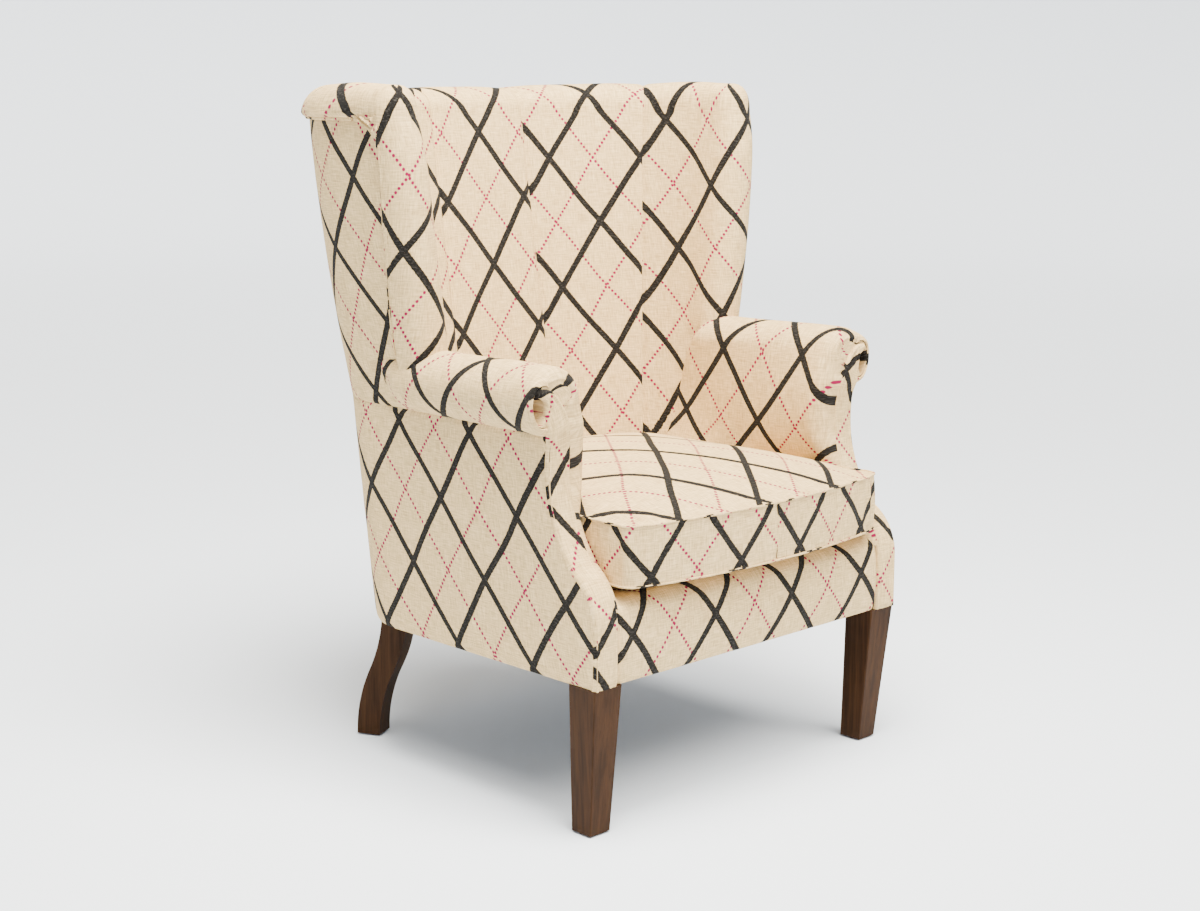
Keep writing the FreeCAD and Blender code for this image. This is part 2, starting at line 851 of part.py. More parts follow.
def seat_deck(neighbours):
    front = base_front + facing_depth + rail_thickness + 30
    low = Vector(-arm_seat_front, front, deck_underside)
    deck = box(low, Vector(arm_seat_front, well_rear + 40, deck_top))
    for solid in neighbours:
        deck = deck.cut(solid)
    middle = [s for s in deck.Solids if s.BoundBox.isInside(Vector(0, 0, deck_top - 1))]
    return middle[0]


def dust_cover(shells, axes):
    sheet = shells["cover"].common(box(
        Vector(-beyond, base_front + facing_depth, base_height),
        Vector(beyond, beyond, frame_foot),
    ))
    for axis in axes:
        sheet = sheet.cut(bolt(axis, bolt_radius + bolt_clearance))
    return sheet.Solids[0]


# Cord laid along a line of points; "up" stays nearly square to the line all the way
def cord(line, up, radius):
    rows = []
    ahead = line[1:] + [line[-1] * 2 - line[-2]]
    behind = [line[0] * 2 - line[1]] + line[:-1]
    for point, before, after in zip(line, behind, ahead):
        along = after.sub(before)
        along.normalize()
        side = along.cross(up)
        side.normalize()
        top = side.cross(along)
        turns = [math.radians(degrees) for degrees in range(0, 360, 60)]
        rows.append([point + side * (radius * math.cos(t)) + top * (radius * math.sin(t)) for t in turns])
    return skin(rows)


def back_welt():
    level = roof_height - welt_radius - 0.2
    points = outside_points(roof_height, -welt_radius - 0.4)
    for key in points:
        points[key].z = level
    right = Vector(points["side"].x, wing_welt_y + 12, level)
    return cord([right] + plan_curve(points) + [flip(right)], Vector(0, 0, 1), welt_radius)


def wing_welt():
    y = wing_welt_y + welt_radius + 0.3
    levels = [mix(roll_top + 5, roof_height - 12, i / welt_chord_count) for i in range(welt_chord_count + 1)]
    line = [Vector(outside_half(level) + welt_radius + 0.4, y, level) for level in levels]
    return cord(line, Vector(0, 1, 0), welt_radius)


# Loose cushion: level outlines, the same shape drawn in by an inset
def cushion_outline(inset, level):
    front_y = cushion_front + inset
    corner = 22.0
    front_half = cushion_front_half - inset
    rear_half = cushion_rear_half - inset
    points = plan_points(
        rear_half, cushion_rear - inset, inside_arc_radius - inset, cushion_corner_radius - inset / 2, level,
    )
    front_side = Vector(front_half, front_y + corner, level)
    front_corner = Vector(front_half - 6, front_y + 6, level)
    front_end = Vector(front_half - corner, front_y - 1.5, level)
    middle = Vector(0, front_y - cushion_bow + corner / 4, level)
    corner_line = chords(front_end, front_corner, front_side, 3)
    front_line = chords(flip(front_end), middle, front_end, back_chord_count)
    return corner_line + plan_curve(points) + [flip(point) for point in corner_line[::-1]] + front_line[1:-1]


def cushion():
    bottom = deck_top + cushion_gap
    under = [(46, bottom), (20, bottom + 4), (5, bottom + 11), (0, cushion_seam_low)]
    flat_half = tape_height / 2 + 2
    border = [
        (0, cushion_seam_low),
        (cushion_waist, zip_level - flat_half),
        (cushion_waist, zip_level + flat_half),
        (0, cushion_seam_high),
    ]
    crown = []
    for reach in (0, 0.062, 0.14, 0.241, 0.365, 0.52, 0.7):
        inset = reach * cushion_rear_half
        share = 1 - reach / 0.835
        crown.append((inset, cushion_seam_high + cushion_crown * (1 - share ** 2)))
    rows = under[:-1] + border + crown[1:]
    return skin([cushion_outline(inset, level) for inset, level in rows])


# Zip on the rear border, along the same arc as the back
zip_level = (cushion_seam_low + cushion_seam_high) / 2
zip_centre_y = cushion_rear - inside_arc_radius
zip_face = inside_arc_radius - cushion_waist + 0.6
slider_angle = zip_half_angle - 1.2


def band(inner, outer, half_angle, low, high, middle_angle=0.0):
    centre = Vector(0, zip_centre_y, low)
    start = math.radians(90 + middle_angle - half_angle)
    end = math.radians(90 + middle_angle + half_angle)

    def at(radius, turn):
        return centre + Vector(math.cos(turn), math.sin(turn), 0) * radius

    mid = (start + end) / 2
    edges = [
        arc(at(inner, start), at(inner, mid), at(inner, end)),
        segment(at(inner, end), at(outer, end)),
        arc(at(outer, end), at(outer, mid), at(outer, start)),
        segment(at(outer, start), at(inner, start)),
    ]
    return Part.Face(Part.Wire(edges)).extrude(Vector(0, 0, high - low))


def cushion_zip():
    tape = band(zip_face, zip_face + tape_thickness, zip_half_angle,
                zip_level - tape_height / 2, zip_level + tape_height / 2)
    chain = band(zip_face + tape_thickness, zip_face + 2 * tape_thickness, zip_half_angle,
                 zip_level - chain_height / 2, zip_level + chain_height / 2)
    return clean(tape.fuse(chain))


def zip_slider():
    inner = zip_face + tape_thickness + running_gap
    outer = zip_face + 2 * tape_thickness + running_gap + slider_wall
    half = math.degrees(slider_length / 2 / outer)
    body = band(inner, outer, half, zip_level - slider_height / 2, zip_level + slider_height / 2, -slider_angle)
    slot = chain_height / 2 + running_gap
    channel = band(inner - 1, zip_face + 2 * tape_thickness + running_gap, half + 1,
                   zip_level - slot, zip_level + slot, -slider_angle)
    return clean(body.cut(channel))


def pull_pivot():
    radius = zip_face + 2 * tape_thickness + 2 * running_gap + slider_wall + pull_thickness / 2
    turn = math.radians(90 - slider_angle)
    return Vector(0, zip_centre_y, zip_level) + Vector(math.cos(turn), math.sin(turn), 0) * radius


def zip_pull():
    pivot = pull_pivot()
    low = Vector(-pull_length, -pull_thickness / 2, -pull_height / 2)
    tab = Part.makeBox(pull_length, pull_thickness, pull_height, low)
    ends = [e for e in tab.Edges if e.BoundBox.YLength > pull_thickness / 2 and e.BoundBox.XMax < 1 - pull_length]
    tab = tab.makeFillet(pull_height / 2 - 0.3, ends)
    knuckle = Part.makeCylinder(pull_thickness / 2, pull_height, Vector(0, 0, -pull_height / 2))
    tab = tab.fuse(knuckle)
    tab.rotate(Vector(0, 0, 0), Vector(0, 0, 1), -slider_angle)
    tab.translate(pivot)
    return tab


def build():
    os.makedirs("parts", exist_ok=True)
    shells = {
        "outer": outside_solid(0),
        "cover": outside_solid(cover),
        "rail": outside_solid(cover + rail_thickness),
        "inside": inside_solid(0),
        "pad_back": inside_solid(back_pad),
        "web_back": inside_solid(back_pad + webbing),
    }
    zones = build_zones()
    behind_front = front_profile(0)
    behind_facing = front_profile(facing_depth)
    right = {}
    single = {}

    rails = build_rails(shells, zones)
    post = arm_post(behind_facing)
    rear_post = back_post(shells, shells["web_back"])
    upright = wing_post()
    right["arm_post"] = post
    right["back_post"] = rear_post
    right["wing_post"] = upright
    right["arm_rail"] = arm_rail(shells, rear_post)
    right["side_rail"] = side_rail(shells, post, rear_post)
    right["wing_rail"] = wing_rail(shells, zones, rear_post, upright)
    for name, rail in rails.items():
        single[name] = rail if name == "front_rail" else doubled(rail, [rear_post])
    block = corner_block_rear(shells, [single["back_rail"], rear_post, right["side_rail"]])
    blocks = [corner_block_front(), block]
    bolts = [front_bolt_axis(), rear_bolt_axis()]
    holes = [bolt(axis, bolt_radius + bolt_clearance) for axis in bolts]
    right["arm_post"] = post.cut(holes[0])
    blocks = [solid.cut(holes[0]).cut(holes[1]) for solid in blocks]
    for hole in (holes[1], mirrored(holes[1])):
        single["back_rail"] = single["back_rail"].cut(hole)

    panels = inside_panels(shells, zones, [upright, right["wing_rail"], rear_post, right["arm_rail"]])
    single["inside_back_centre"] = panels["inside_back_centre"]
    right["inside_back"] = panels["inside_back_right"]
    right["inside_wing"] = panels["inside_wing_right"]
    right["arm_facing"] = arm_facing(behind_front, behind_facing)
    border = front_border_pad()
    inner_solids = [post, right["arm_rail"], right["side_rail"], upright, right["arm_facing"]]
    right["inside_arm"] = inside_arm(right["inside_wing"], border, inner_solids, behind_front)
    right["outside_arm"] = outside_arm(shells, zones, behind_front, right["arm_facing"])
    right["outside_wing"] = outside_wing(shells, zones)
    single["outside_back"] = outside_back(shells, zones)
    single["front_border"] = border
    ring = shells["pad_back"].cut(shells["inside"])
    neighbours = [ring, right["inside_arm"], mirrored(right["inside_arm"]), post, mirrored(post)]
    single["seat_deck"] = seat_deck(neighbours)
    all_axes = bolts + [flip(axis) for axis in bolts]
    single["dust_cover"] = dust_cover(shells, all_axes)
    single["back_welt"] = back_welt()
    right["wing_welt"] = wing_welt()

    strap_low = deck_top + strap_margin
    strap_high = roof_height - strap_margin
    strap_levels = [mix(strap_low, strap_high, i / (strap_count - 1)) for i in range(strap_count)]
    web_ring = shells["web_back"].cut(shells["pad_back"]).common(zones["inside_back"])
    strips = [web_ring.common(slab(z - strap_height / 2, z + strap_height / 2)) for z in strap_levels]
    straps = [doubled(strip, [right["inside_back"], rear_post]) for strip in strips]
    single["back_webbing"] = Part.makeCompound(straps)

    springs = []
    clips = []
    for index in range(spring_count):
        x, front, rear = spring_run(index)
        springs.append(zigzag_spring(x, front, rear))
        clips += [spring_clip(x, front, -1), spring_clip(x, rear, 1)]
    single["seat_springs"] = Part.makeCompound(springs)
    single["spring_clips"] = Part.makeCompound(clips)

    leg = front_leg()
    right["front_leg"] = leg.cut(holes[0])
    right["rear_leg"] = rear_leg().cut(holes[1])
    right_bolts = [bolt(axis, bolt_radius) for axis in bolts]
    single["leg_bolts"] = Part.makeCompound(right_bolts + [mirrored(b) for b in right_bolts])
    feet = [front_foot_centre(), rear_foot_centre()]
    glides = [Part.makeCylinder(glide_radius, glide_height, foot) for foot in feet + [flip(foot) for foot in feet]]
    single["glides"] = Part.makeCompound(glides)
    single["corner_blocks"] = Part.makeCompound(blocks + [mirrored(b) for b in blocks])

    single["seat_cushion"] = cushion()
    single["cushion_zip"] = cushion_zip()
    single["zip_slider"] = zip_slider()
    single["zip_pull"] = zip_pull()

    for name, shape in single.items():
        save(shape, name)
    for name, shape in right.items():
        for side in sides:
            save(on_side(shape, side), name + "_" + side)
    return single, right


build()
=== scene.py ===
import bpy
import json
import math
from bisect import bisect_right
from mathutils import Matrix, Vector, kdtree, noise

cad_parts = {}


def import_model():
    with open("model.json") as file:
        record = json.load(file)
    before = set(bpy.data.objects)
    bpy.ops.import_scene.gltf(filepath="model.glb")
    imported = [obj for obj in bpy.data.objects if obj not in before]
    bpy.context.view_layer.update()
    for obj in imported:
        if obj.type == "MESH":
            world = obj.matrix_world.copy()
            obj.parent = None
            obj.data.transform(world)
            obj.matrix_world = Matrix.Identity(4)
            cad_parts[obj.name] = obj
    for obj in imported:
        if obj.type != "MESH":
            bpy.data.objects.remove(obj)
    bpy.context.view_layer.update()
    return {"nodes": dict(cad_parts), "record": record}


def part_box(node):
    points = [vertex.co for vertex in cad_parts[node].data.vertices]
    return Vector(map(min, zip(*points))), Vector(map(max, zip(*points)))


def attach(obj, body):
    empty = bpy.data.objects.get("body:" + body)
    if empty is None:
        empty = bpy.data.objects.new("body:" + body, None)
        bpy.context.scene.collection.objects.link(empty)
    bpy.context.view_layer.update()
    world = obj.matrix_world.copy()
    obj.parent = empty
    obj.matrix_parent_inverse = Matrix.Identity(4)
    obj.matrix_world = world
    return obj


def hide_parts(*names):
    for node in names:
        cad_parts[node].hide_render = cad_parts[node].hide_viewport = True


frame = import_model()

nodes = frame["nodes"]
bpy.ops.object.select_all(action="DESELECT")

# heights and plan sizes of the shell, in millimetres, the same as the chair's solids
shell = {
    "base": 230.0, "seam": 587.5, "rollTop": 684.0, "roof": 1031.0, "padFoot": 322.4,
    "half": 342.0, "shoulder": 390.0, "flare": 1.72, "rear": 263.7, "rake": 0.1545,
    "corner": 136.0, "cornerGrow": 76.0, "cornerPower": 1.8, "backArc": 700.0, "backGrow": 0.094, "overhang": 12.0,
    "wellHalf": 256.5, "wellTop": 333.2, "wellRear": 169.3, "wellRearTop": 280.7, "insideArc": 600.0,
    "wellCorner": 121.6, "wellCornerTop": 193.0, "centreSeam": 100.0, "noseY": 23.0,
}
armShape = {
    "front": -277.0, "rollZ": 635.0, "rollX": (327.0, 319.0), "radius": (49.0, 46.0),
    "seat": (288.0, 262.0), "bulge": (252.0, 281.0), "baseFront": -369.0, "rear": 85.0,
    "lipZ": 463.4, "swellZ": 542.4,
}


def mix(a, b, t):
    return a + (b - a) * t


def clamp(t, low=0.0, high=1.0):
    return min(high, max(low, t))


def smooth(t):
    t = clamp(t)
    return t * t * (3 - 2 * t)


def near(distance, width):
    return math.exp(-(distance / width) ** 2)


class PlanCurve:  # a wide arc behind, a corner arc at each side, then straight sides
    def __init__(self, half, rear, backRadius, cornerRadius):
        self.reach = half - cornerRadius
        span = backRadius - cornerRadius
        self.half, self.backRadius, self.cornerRadius = half, backRadius, cornerRadius
        self.centreY = rear - backRadius
        self.sideY = self.centreY + math.sqrt(span ** 2 - self.reach ** 2)
        joinX = backRadius * self.reach / span
        joinY = self.centreY + math.sqrt(backRadius ** 2 - joinX ** 2)
        self.joinTurn = math.atan2(joinY - self.sideY, joinX - self.reach)
        self.backLength = backRadius * math.atan2(joinX, joinY - self.centreY)
        self.cornerLength = cornerRadius * self.joinTurn
        self.bend = self.backLength + self.cornerLength / 2

    def at(self, s):
        side = -1.0 if s < 0 else 1.0
        s = abs(s)
        if s < self.backLength:
            turn = s / self.backRadius
            return Vector((side * self.backRadius * math.sin(turn), self.centreY + self.backRadius * math.cos(turn)))
        s -= self.backLength
        if s < self.cornerLength:
            turn = self.joinTurn - s / self.cornerRadius
            x = self.reach + self.cornerRadius * math.cos(turn)
            return Vector((side * x, self.sideY + self.cornerRadius * math.sin(turn)))
        return Vector((side * self.half, self.sideY - (s - self.cornerLength)))

    def atX(self, x):
        return self.backRadius * math.asin(x / self.backRadius)

    def atY(self, y):
        return self.backLength + self.cornerLength + self.sideY - y


def outsideHalf(z):
    share = clamp((z - shell["seam"]) / (shell["roof"] - shell["seam"]))
    return mix(shell["half"], shell["shoulder"], 1 - (1 - share) ** shell["flare"])


def outsideCurve(z, inset=0.0):
    risen = z - shell["base"]
    corner = shell["corner"] + shell["cornerGrow"] * (risen / (shell["roof"] - shell["base"])) ** shell["cornerPower"]
    return PlanCurve(outsideHalf(z) - inset, shell["rear"] + shell["rake"] * risen - inset,
                     shell["backArc"] + shell["backGrow"] * risen - inset, corner - inset)


def insideCurve(z, grow=0.0):
    t = (z - shell["padFoot"]) / (shell["roof"] - shell["padFoot"])
    return PlanCurve(mix(shell["wellHalf"], shell["wellTop"], t) + grow,
                     mix(shell["wellRear"], shell["wellRearTop"], t) + grow,
                     shell["insideArc"] + grow, mix(shell["wellCorner"], shell["wellCornerTop"], t) + grow)


def narrow(low, high, steps, before):  # the two sides of the place where a test stops holding
    for step in range(steps):
        mid = (low + high) / 2
        if before(mid):
            low = mid
        else:
            high = mid
    return low, high


def crossing(curve, origin, along):  # arc length where a straight line in plan meets a curve
    def before(s):
        gap = curve.at(s) - origin
        return along.x * gap.y - along.y * gap.x > 0

    return sum(narrow(curve.backLength * 0.5, curve.backLength + curve.cornerLength, 40, before)) / 2


def spread(t, ease=0.5):  # closer rows near both edges, where the seams are
    return mix(t, 0.5 - 0.5 * math.cos(math.pi * t), ease)


# A grid primitive: its points are laid over the padding, its UV map is in metres
def layCloth(name, columns, rows, place, cloth, easeU=0.6, easeV=0.3):
    bpy.ops.object.select_all(action="DESELECT")
    bpy.ops.mesh.primitive_grid_add(x_subdivisions=columns, y_subdivisions=rows, size=2, calc_uvs=True)
    piece = bpy.context.object
    piece.name = name
    mesh = piece.data
    shares = []
    for vertex in mesh.vertices:
        u = spread((vertex.co.x + 1) / 2, easeU)
        v = spread((vertex.co.y + 1) / 2, easeV)
        shares.append((u, v))
        vertex.co = Vector(place(u, v)) / 1000
    uvs = mesh.uv_layers[0].data
    for loop in mesh.loops:
        u, v = shares[loop.vertex_index]
        uvs[loop.index].uv = Vector(cloth(u, v)) / 1000
    return piece


def editAll(*steps):
    bpy.ops.object.mode_set(mode="EDIT")
    bpy.ops.mesh.select_all(action="SELECT")
    for step in steps:
        step()
    bpy.ops.object.mode_set(mode="OBJECT")


def sewTogether(name, parts, distance=0.0004):
    bpy.ops.object.select_all(action="DESELECT")
    for part in parts:
        part.select_set(True)
    bpy.context.view_layer.objects.active = parts[0]
    if len(parts) > 1:
        bpy.ops.object.join()
    piece = bpy.context.object
    piece.name = name
    editAll(lambda: bpy.ops.mesh.remove_doubles(threshold=distance))
    return piece


def applyAll(piece):
    bpy.context.view_layer.objects.active = piece
    for modifier in list(piece.modifiers):
        bpy.ops.object.modifier_apply(modifier=modifier.name)


def finishCover(piece, material, replaced, body="chair", thickness=3.0, fill=0.85, slot="cream_print"):
    if thickness:
        wall = piece.modifiers.new("wall", "SOLIDIFY")
        wall.thickness = thickness / 1000
        wall.offset = -1
        applyAll(piece)
    bpy.ops.object.select_all(action="DESELECT")
    piece.select_set(True)
    bpy.context.view_layer.objects.active = piece
    bpy.ops.object.shade_smooth_by_angle(angle=math.radians(50))
    piece.data.materials.clear()
    piece.data.materials.append(material)
    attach(piece, body)
    if replaced:
        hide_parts(*replaced)
    return piece


def mirrorCopy(piece, name, shift):  # the left-hand twin: its own mesh, with the print moved on
    twin = piece.copy()
    twin.data = piece.data.copy()
    twin.name = name
    bpy.context.collection.objects.link(twin)
    for vertex in twin.data.vertices:
        vertex.co.x = -vertex.co.x
    twin.data.flip_normals()
    for loop in twin.data.uv_layers[0].data:
        loop.uv = (loop.uv[0] * -1 + shift[0], loop.uv[1] + shift[1])
    return twin


def finishPair(right, stem, node, shift, **more):  # the right-hand piece and its left-hand twin
    left = mirrorCopy(right, stem + "_left", shift)
    finishCover(right, printedLinen, [node + "_right"], **more)
    finishCover(left, printedLinen, [node + "_left"], **more)


def marksAlong(line):  # distance along a line at each of its points
    marks = [0.0]
    for a, b in zip(line, line[1:]):
        marks.append(marks[-1] + (b - a).length)
    return marks


def pointAlong(line, marks, s):
    index = min(bisect_right(marks, s), len(marks) - 1) - 1
    a, b = line[index], line[(index + 1) % len(line)]
    return a.lerp(b, (s - marks[index]) / max(1e-6, marks[index + 1] - marks[index]))


def ripple(x, y, scale, seed=0.0):
    return noise.noise(Vector((x / scale, y / scale, seed)))


class Sock:
    def __init__(self, shader, socket):
        self.shader, self.socket = shader, socket

    def math(self, operation, other, clampIt=False):
        return self.shader.node("ShaderNodeMath", {"operation": operation, "use_clamp": clampIt}, {0: self, 1: other})

    def __add__(self, other): return self.math("ADD", other)
    def __radd__(self, other): return self.math("ADD", other)
    def __sub__(self, other): return self.math("SUBTRACT", other)
    def __rsub__(self, other): return self.shader.node("ShaderNodeMath", {"operation": "SUBTRACT"}, {0: other, 1: self})
    def __mul__(self, other): return self.math("MULTIPLY", other)
    def __rmul__(self, other): return self.math("MULTIPLY", other)
    def __truediv__(self, other): return self.math("DIVIDE", other)
    def fold(self, period): return self.math("PINGPONG", period / 2)
    def bounded(self): return self.math("ADD", 0.0, clampIt=True)
    def high(self, other): return self.math("MAXIMUM", other)
    def root(self): return self.math("POWER", 0.5)


class Shader:
    def __init__(self, name, **fixed):
        self.material = bpy.data.materials.new(name)
        self.material.use_nodes = True
        self.tree = self.material.node_tree
        self.surface = self.tree.nodes["Principled BSDF"]
        for key, value in fixed.items():
            self.surface.inputs[key.replace("_", " ")].default_value = value
        self.coords = self.tree.nodes.new("ShaderNodeTexCoord")

    def node(self, kind, settings, values, output=0):
        made = self.tree.nodes.new(kind)
        for key, value in settings.items():
            if key == "stops":
                for stop, (position, colour) in zip(made.color_ramp.elements, value):
                    stop.position, stop.color = position, colour
            else:
                setattr(made, key, value)
        for key, value in values.items():
            if isinstance(value, Sock):
                self.tree.links.new(value.socket, made.inputs[key])
            else:
                made.inputs[key].default_value = value
        return Sock(self, made.outputs[output])

    def place(self, kind="Object"):
        return Sock(self, self.coords.outputs[kind])

    def stretched(self, scale, kind="Object", turn=(0, 0, 0)):
        return self.node("ShaderNodeMapping", {}, {"Vector": self.place(kind), "Scale": scale, "Rotation": turn})

    def grain(self, vector, scale, detail=2.0, rough=0.5, distortion=0.0):
        values = {"Vector": vector, "Scale": scale, "Detail": detail, "Roughness": rough, "Distortion": distortion}
        return self.node("ShaderNodeTexNoise", {}, values)

    def blend(self, factor, a, b, mode="MIX"):
        made = self.tree.nodes.new("ShaderNodeMix")
        made.data_type, made.blend_type = "RGBA", mode
        for index, value in ((0, factor), (6, a), (7, b)):
            if isinstance(value, Sock):
                self.tree.links.new(value.socket, made.inputs[index])
            else:
                made.inputs[index].default_value = value
        return Sock(self, made.outputs[2])

    def feed(self, key, value):
        self.tree.links.new(value.socket, self.surface.inputs[key])

    def bump(self, height, strength, distance):
        values = {"Strength": strength, "Distance": distance, "Height": height}
        self.feed("Normal", self.node("ShaderNodeBump", {}, values))


# cream linen with a generic diamond check: chalky charcoal lines and raspberry dotted lines
linen = {
    "cream": (0.69, 0.49, 0.24, 1), "shade": (0.40, 0.27, 0.12, 1), "pale": (0.80, 0.61, 0.32, 1),
    "charcoal": (0.009, 0.008, 0.007, 1), "chalk": (0.055, 0.050, 0.044, 1), "raspberry": (0.23, 0.004, 0.050, 1),
    "lineWidth": 12.0, "period": 136.0, "slope": 38.0, "dot": 2.9, "dotPitch": 7.8, "wander": 16.0,
}


def slubWeave(shader, kind="UV"):
    across = shader.grain(shader.stretched((42, 620, 620), kind), 1.0, 3.0, 0.65)
    along = shader.grain(shader.stretched((620, 42, 620), kind), 1.0, 3.0, 0.65)
    broad = shader.grain(shader.stretched((14, 14, 14), kind), 1.0, 2.0)
    return across, along, broad


def makeLinen(name="cream_print_linen", printed=True):
    shader = Shader(name, Roughness=0.94, Sheen_Weight=0.03, Sheen_Roughness=0.5, Specular_IOR_Level=0.08)
    across, along, broad = slubWeave(shader)
    weave = across * 0.5 + along * 0.5
    colour = shader.blend(((weave - 0.36) * 5.0).bounded(), linen["shade"], linen["cream"])
    colour = shader.blend(((weave - 0.52) * 6.0).bounded(), colour, linen["pale"])
    if printed:
        plan = shader.place("UV")
        split = shader.tree.nodes.new("ShaderNodeSeparateXYZ")
        shader.tree.links.new(plan.socket, split.inputs[0])
        wander = shader.grain(plan, 5.0, 1.0)
        x = Sock(shader, split.outputs[0]) * 1000 + (wander - 0.5) * linen["wander"]
        drift = shader.grain(shader.stretched((1, 1, 1), "UV", (0, 0, 2.0)), 5.5, 1.0)
        y = Sock(shader, split.outputs[1]) * 1000 + (drift - 0.5) * linen["wander"]
        turn = math.radians(linen["slope"])
        lines, dots = None, None
        ragged = (shader.grain(plan, 260.0, 2.0) - 0.5) * 2.2
        for side in (1, -1):
            offAxis = x * math.cos(turn) + y * (side * math.sin(turn))
            onAxis = x * (-side * math.sin(turn)) + y * math.cos(turn)
            line = ((linen["lineWidth"] / 2 - offAxis.fold(linen["period"]) + ragged) / 0.9).bounded()
            lines = line if lines is None else lines.high(line)
            apart = (offAxis + linen["period"] / 2).fold(linen["period"])
            step = linen["dotPitch"] / 2 - onAxis.fold(linen["dotPitch"])
            dot = ((linen["dot"] + ragged * 0.25 - (apart * apart + step * step).root()) / 0.8).bounded()
            dots = dot if dots is None else dots.high(dot)
        chalk = shader.grain(shader.stretched((160, 420, 300), "UV", (0, 0, 0.6)), 1.0, 3.0, 0.7)
        ink = shader.blend(((chalk - 0.50) * 4.0).bounded(), linen["charcoal"], linen["chalk"])
        colour = shader.blend(dots, colour, linen["raspberry"])
        colour = shader.blend(lines * ((weave - 0.22) * 7.0).bounded(), colour, ink)
    shader.feed("Base Color", colour)
    shader.bump(weave + broad * 0.3, 0.5, 0.0009)
    return shader.material


def makeWood(name, dark, light, grainScale, roughness, coat, kind="Object"):
    shader = Shader(name, Coat_Weight=coat, Coat_Roughness=0.28, Specular_IOR_Level=0.07)
    fibre = shader.grain(shader.stretched((grainScale, grainScale, grainScale * 0.045), kind), 1.0, 4.0, 0.62, 0.35)
    pore = shader.grain(shader.stretched((grainScale * 5, grainScale * 5, grainScale * 0.14), kind), 1.0, 2.0, 0.5)
    cloud = shader.grain(shader.place(kind), 9.0, 2.0)
    colour = shader.blend(((fibre - 0.34) * 2.6).bounded(), dark, light)
    colour = shader.blend(((0.42 - pore) * 5).bounded() * 0.6, colour, tuple(c * 0.45 for c in dark[:3]) + (1,))
    colour = shader.blend((cloud - 0.35).bounded() * 0.5, colour, tuple(c * 1.25 for c in light[:3]) + (1,))
    shader.feed("Base Color", colour)
    shader.feed("Roughness", (fibre * 0.16 + (roughness - 0.06)).bounded())
    shader.bump(fibre * 0.6 + pore, 0.18, 0.0006)
    return shader.material


def makeMetal(name, colour, worn, roughness):
    shader = Shader(name, Metallic=1.0)
    scratch = shader.grain(shader.stretched((700, 90, 700)), 1.0, 2.0)
    shader.feed("Base Color", shader.blend(((scratch - 0.42) * 3).bounded(), colour, worn))
    shader.feed("Roughness", (scratch * 0.25 + roughness).bounded())
    shader.bump(scratch, 0.08, 0.0003)
    return shader.material


def makeWoven(name, colour, light, pitch, roughness=0.9):
    shader = Shader(name, Roughness=roughness, Specular_IOR_Level=0.2)
    fine = shader.grain(shader.stretched((1 / pitch, 1 / pitch, 1 / pitch)), 1.0, 2.0)
    cloud = shader.grain(shader.place(), 18.0, 2.0)
    shader.feed("Base Color", shader.blend(((fine * 0.7 + cloud * 0.3 - 0.35) * 3).bounded(), colour, light))
    shader.bump(fine, 0.35, 0.0006)
    return shader.material


print("stage: materials")
printedLinen = makeLinen()
stainedWood = makeWood("stained_leg_wood", (0.016, 0.0065, 0.0022, 1), (0.046, 0.020, 0.0075, 1), 120.0, 0.5, 0.0)
frameWood = makeWood("frame_hardwood", (0.40, 0.27, 0.15, 1), (0.66, 0.50, 0.32, 1), 70.0, 0.7, 0.0)
springSteel = makeMetal("spring_steel", (0.30, 0.31, 0.32, 1), (0.50, 0.50, 0.50, 1), 0.25)
dullBrass = makeMetal("dull_brass", (0.30, 0.20, 0.08, 1), (0.52, 0.38, 0.17, 1), 0.28)
webCloth = makeWoven("webbing_cloth", (0.02, 0.018, 0.016, 1), (0.10, 0.09, 0.08, 1), 0.0016)
blackCloth = makeWoven("underlining_cloth", (0.010, 0.010, 0.011, 1), (0.028, 0.028, 0.030, 1), 0.0012)
calico = makeWoven("deck_calico", (0.52, 0.44, 0.31, 1), (0.72, 0.64, 0.50, 1), 0.0014)
tapeCloth = makeWoven("zip_tape_cloth", (0.50, 0.40, 0.26, 1), (0.70, 0.60, 0.44, 1), 0.0010)
glidePlastic = makeWoven("glide_plastic", (0.018, 0.018, 0.018, 1), (0.035, 0.035, 0.035, 1), 0.0009, 0.45)
finishes = {
    "frame_beech": frameWood, "stained_leg": stainedWood, "spring_steel": springSteel, "woven_webbing": webCloth,
    "black_underlining": blackCloth, "deck_lining": calico, "zip_tape": tapeCloth, "zip_metal": dullBrass,
    "glide_plastic": glidePlastic, "cream_print": printedLinen,
}
for subpart in frame["record"]["subparts"]:
    mesh = nodes[subpart["node"]].data
    mesh.materials.clear()
    mesh.materials.append(finishes[subpart["material_slot"]])


# The padded shell: inside back in three panels, wings, and the crest that rolls over the top

roof = shell["roof"]
insideRoof, outsideRoof = insideCurve(roof), outsideCurve(roof, -shell["overhang"])


def wingLine():  # the upright plane of the seam between the back and the wing, where it meets the crest
    low, high = insideCurve(shell["seam"]), insideRoof
    origin = high.at(high.bend)
    return origin, origin - low.at(low.bend)


wingOrigin, wingAlong = wingLine()
wingOutside = crossing(outsideRoof, wingOrigin, wingAlong)
backPad = {
    "foot": 334.0, "crestLength": 150.0, "seamDeep": 4.5, "seamWide": 5.0, "crown": 4.0,
    "centreRise": 39.0, "wingRise": 47.5,
}


def noseY(z):
    lean = clamp((z - roof + 90) / 90)
    return shell["noseY"] + 9 * lean ** 2


def noseSpan(z):  # inner face, outer face of the wing's rounded front edge
    share = clamp((z - shell["rollTop"]) / (roof - shell["rollTop"]))
    inner = insideCurve(min(z, roof)).half - mix(5, 0, share)
    return inner, outsideHalf(min(z, roof)) + mix(11, shell["overhang"], share)


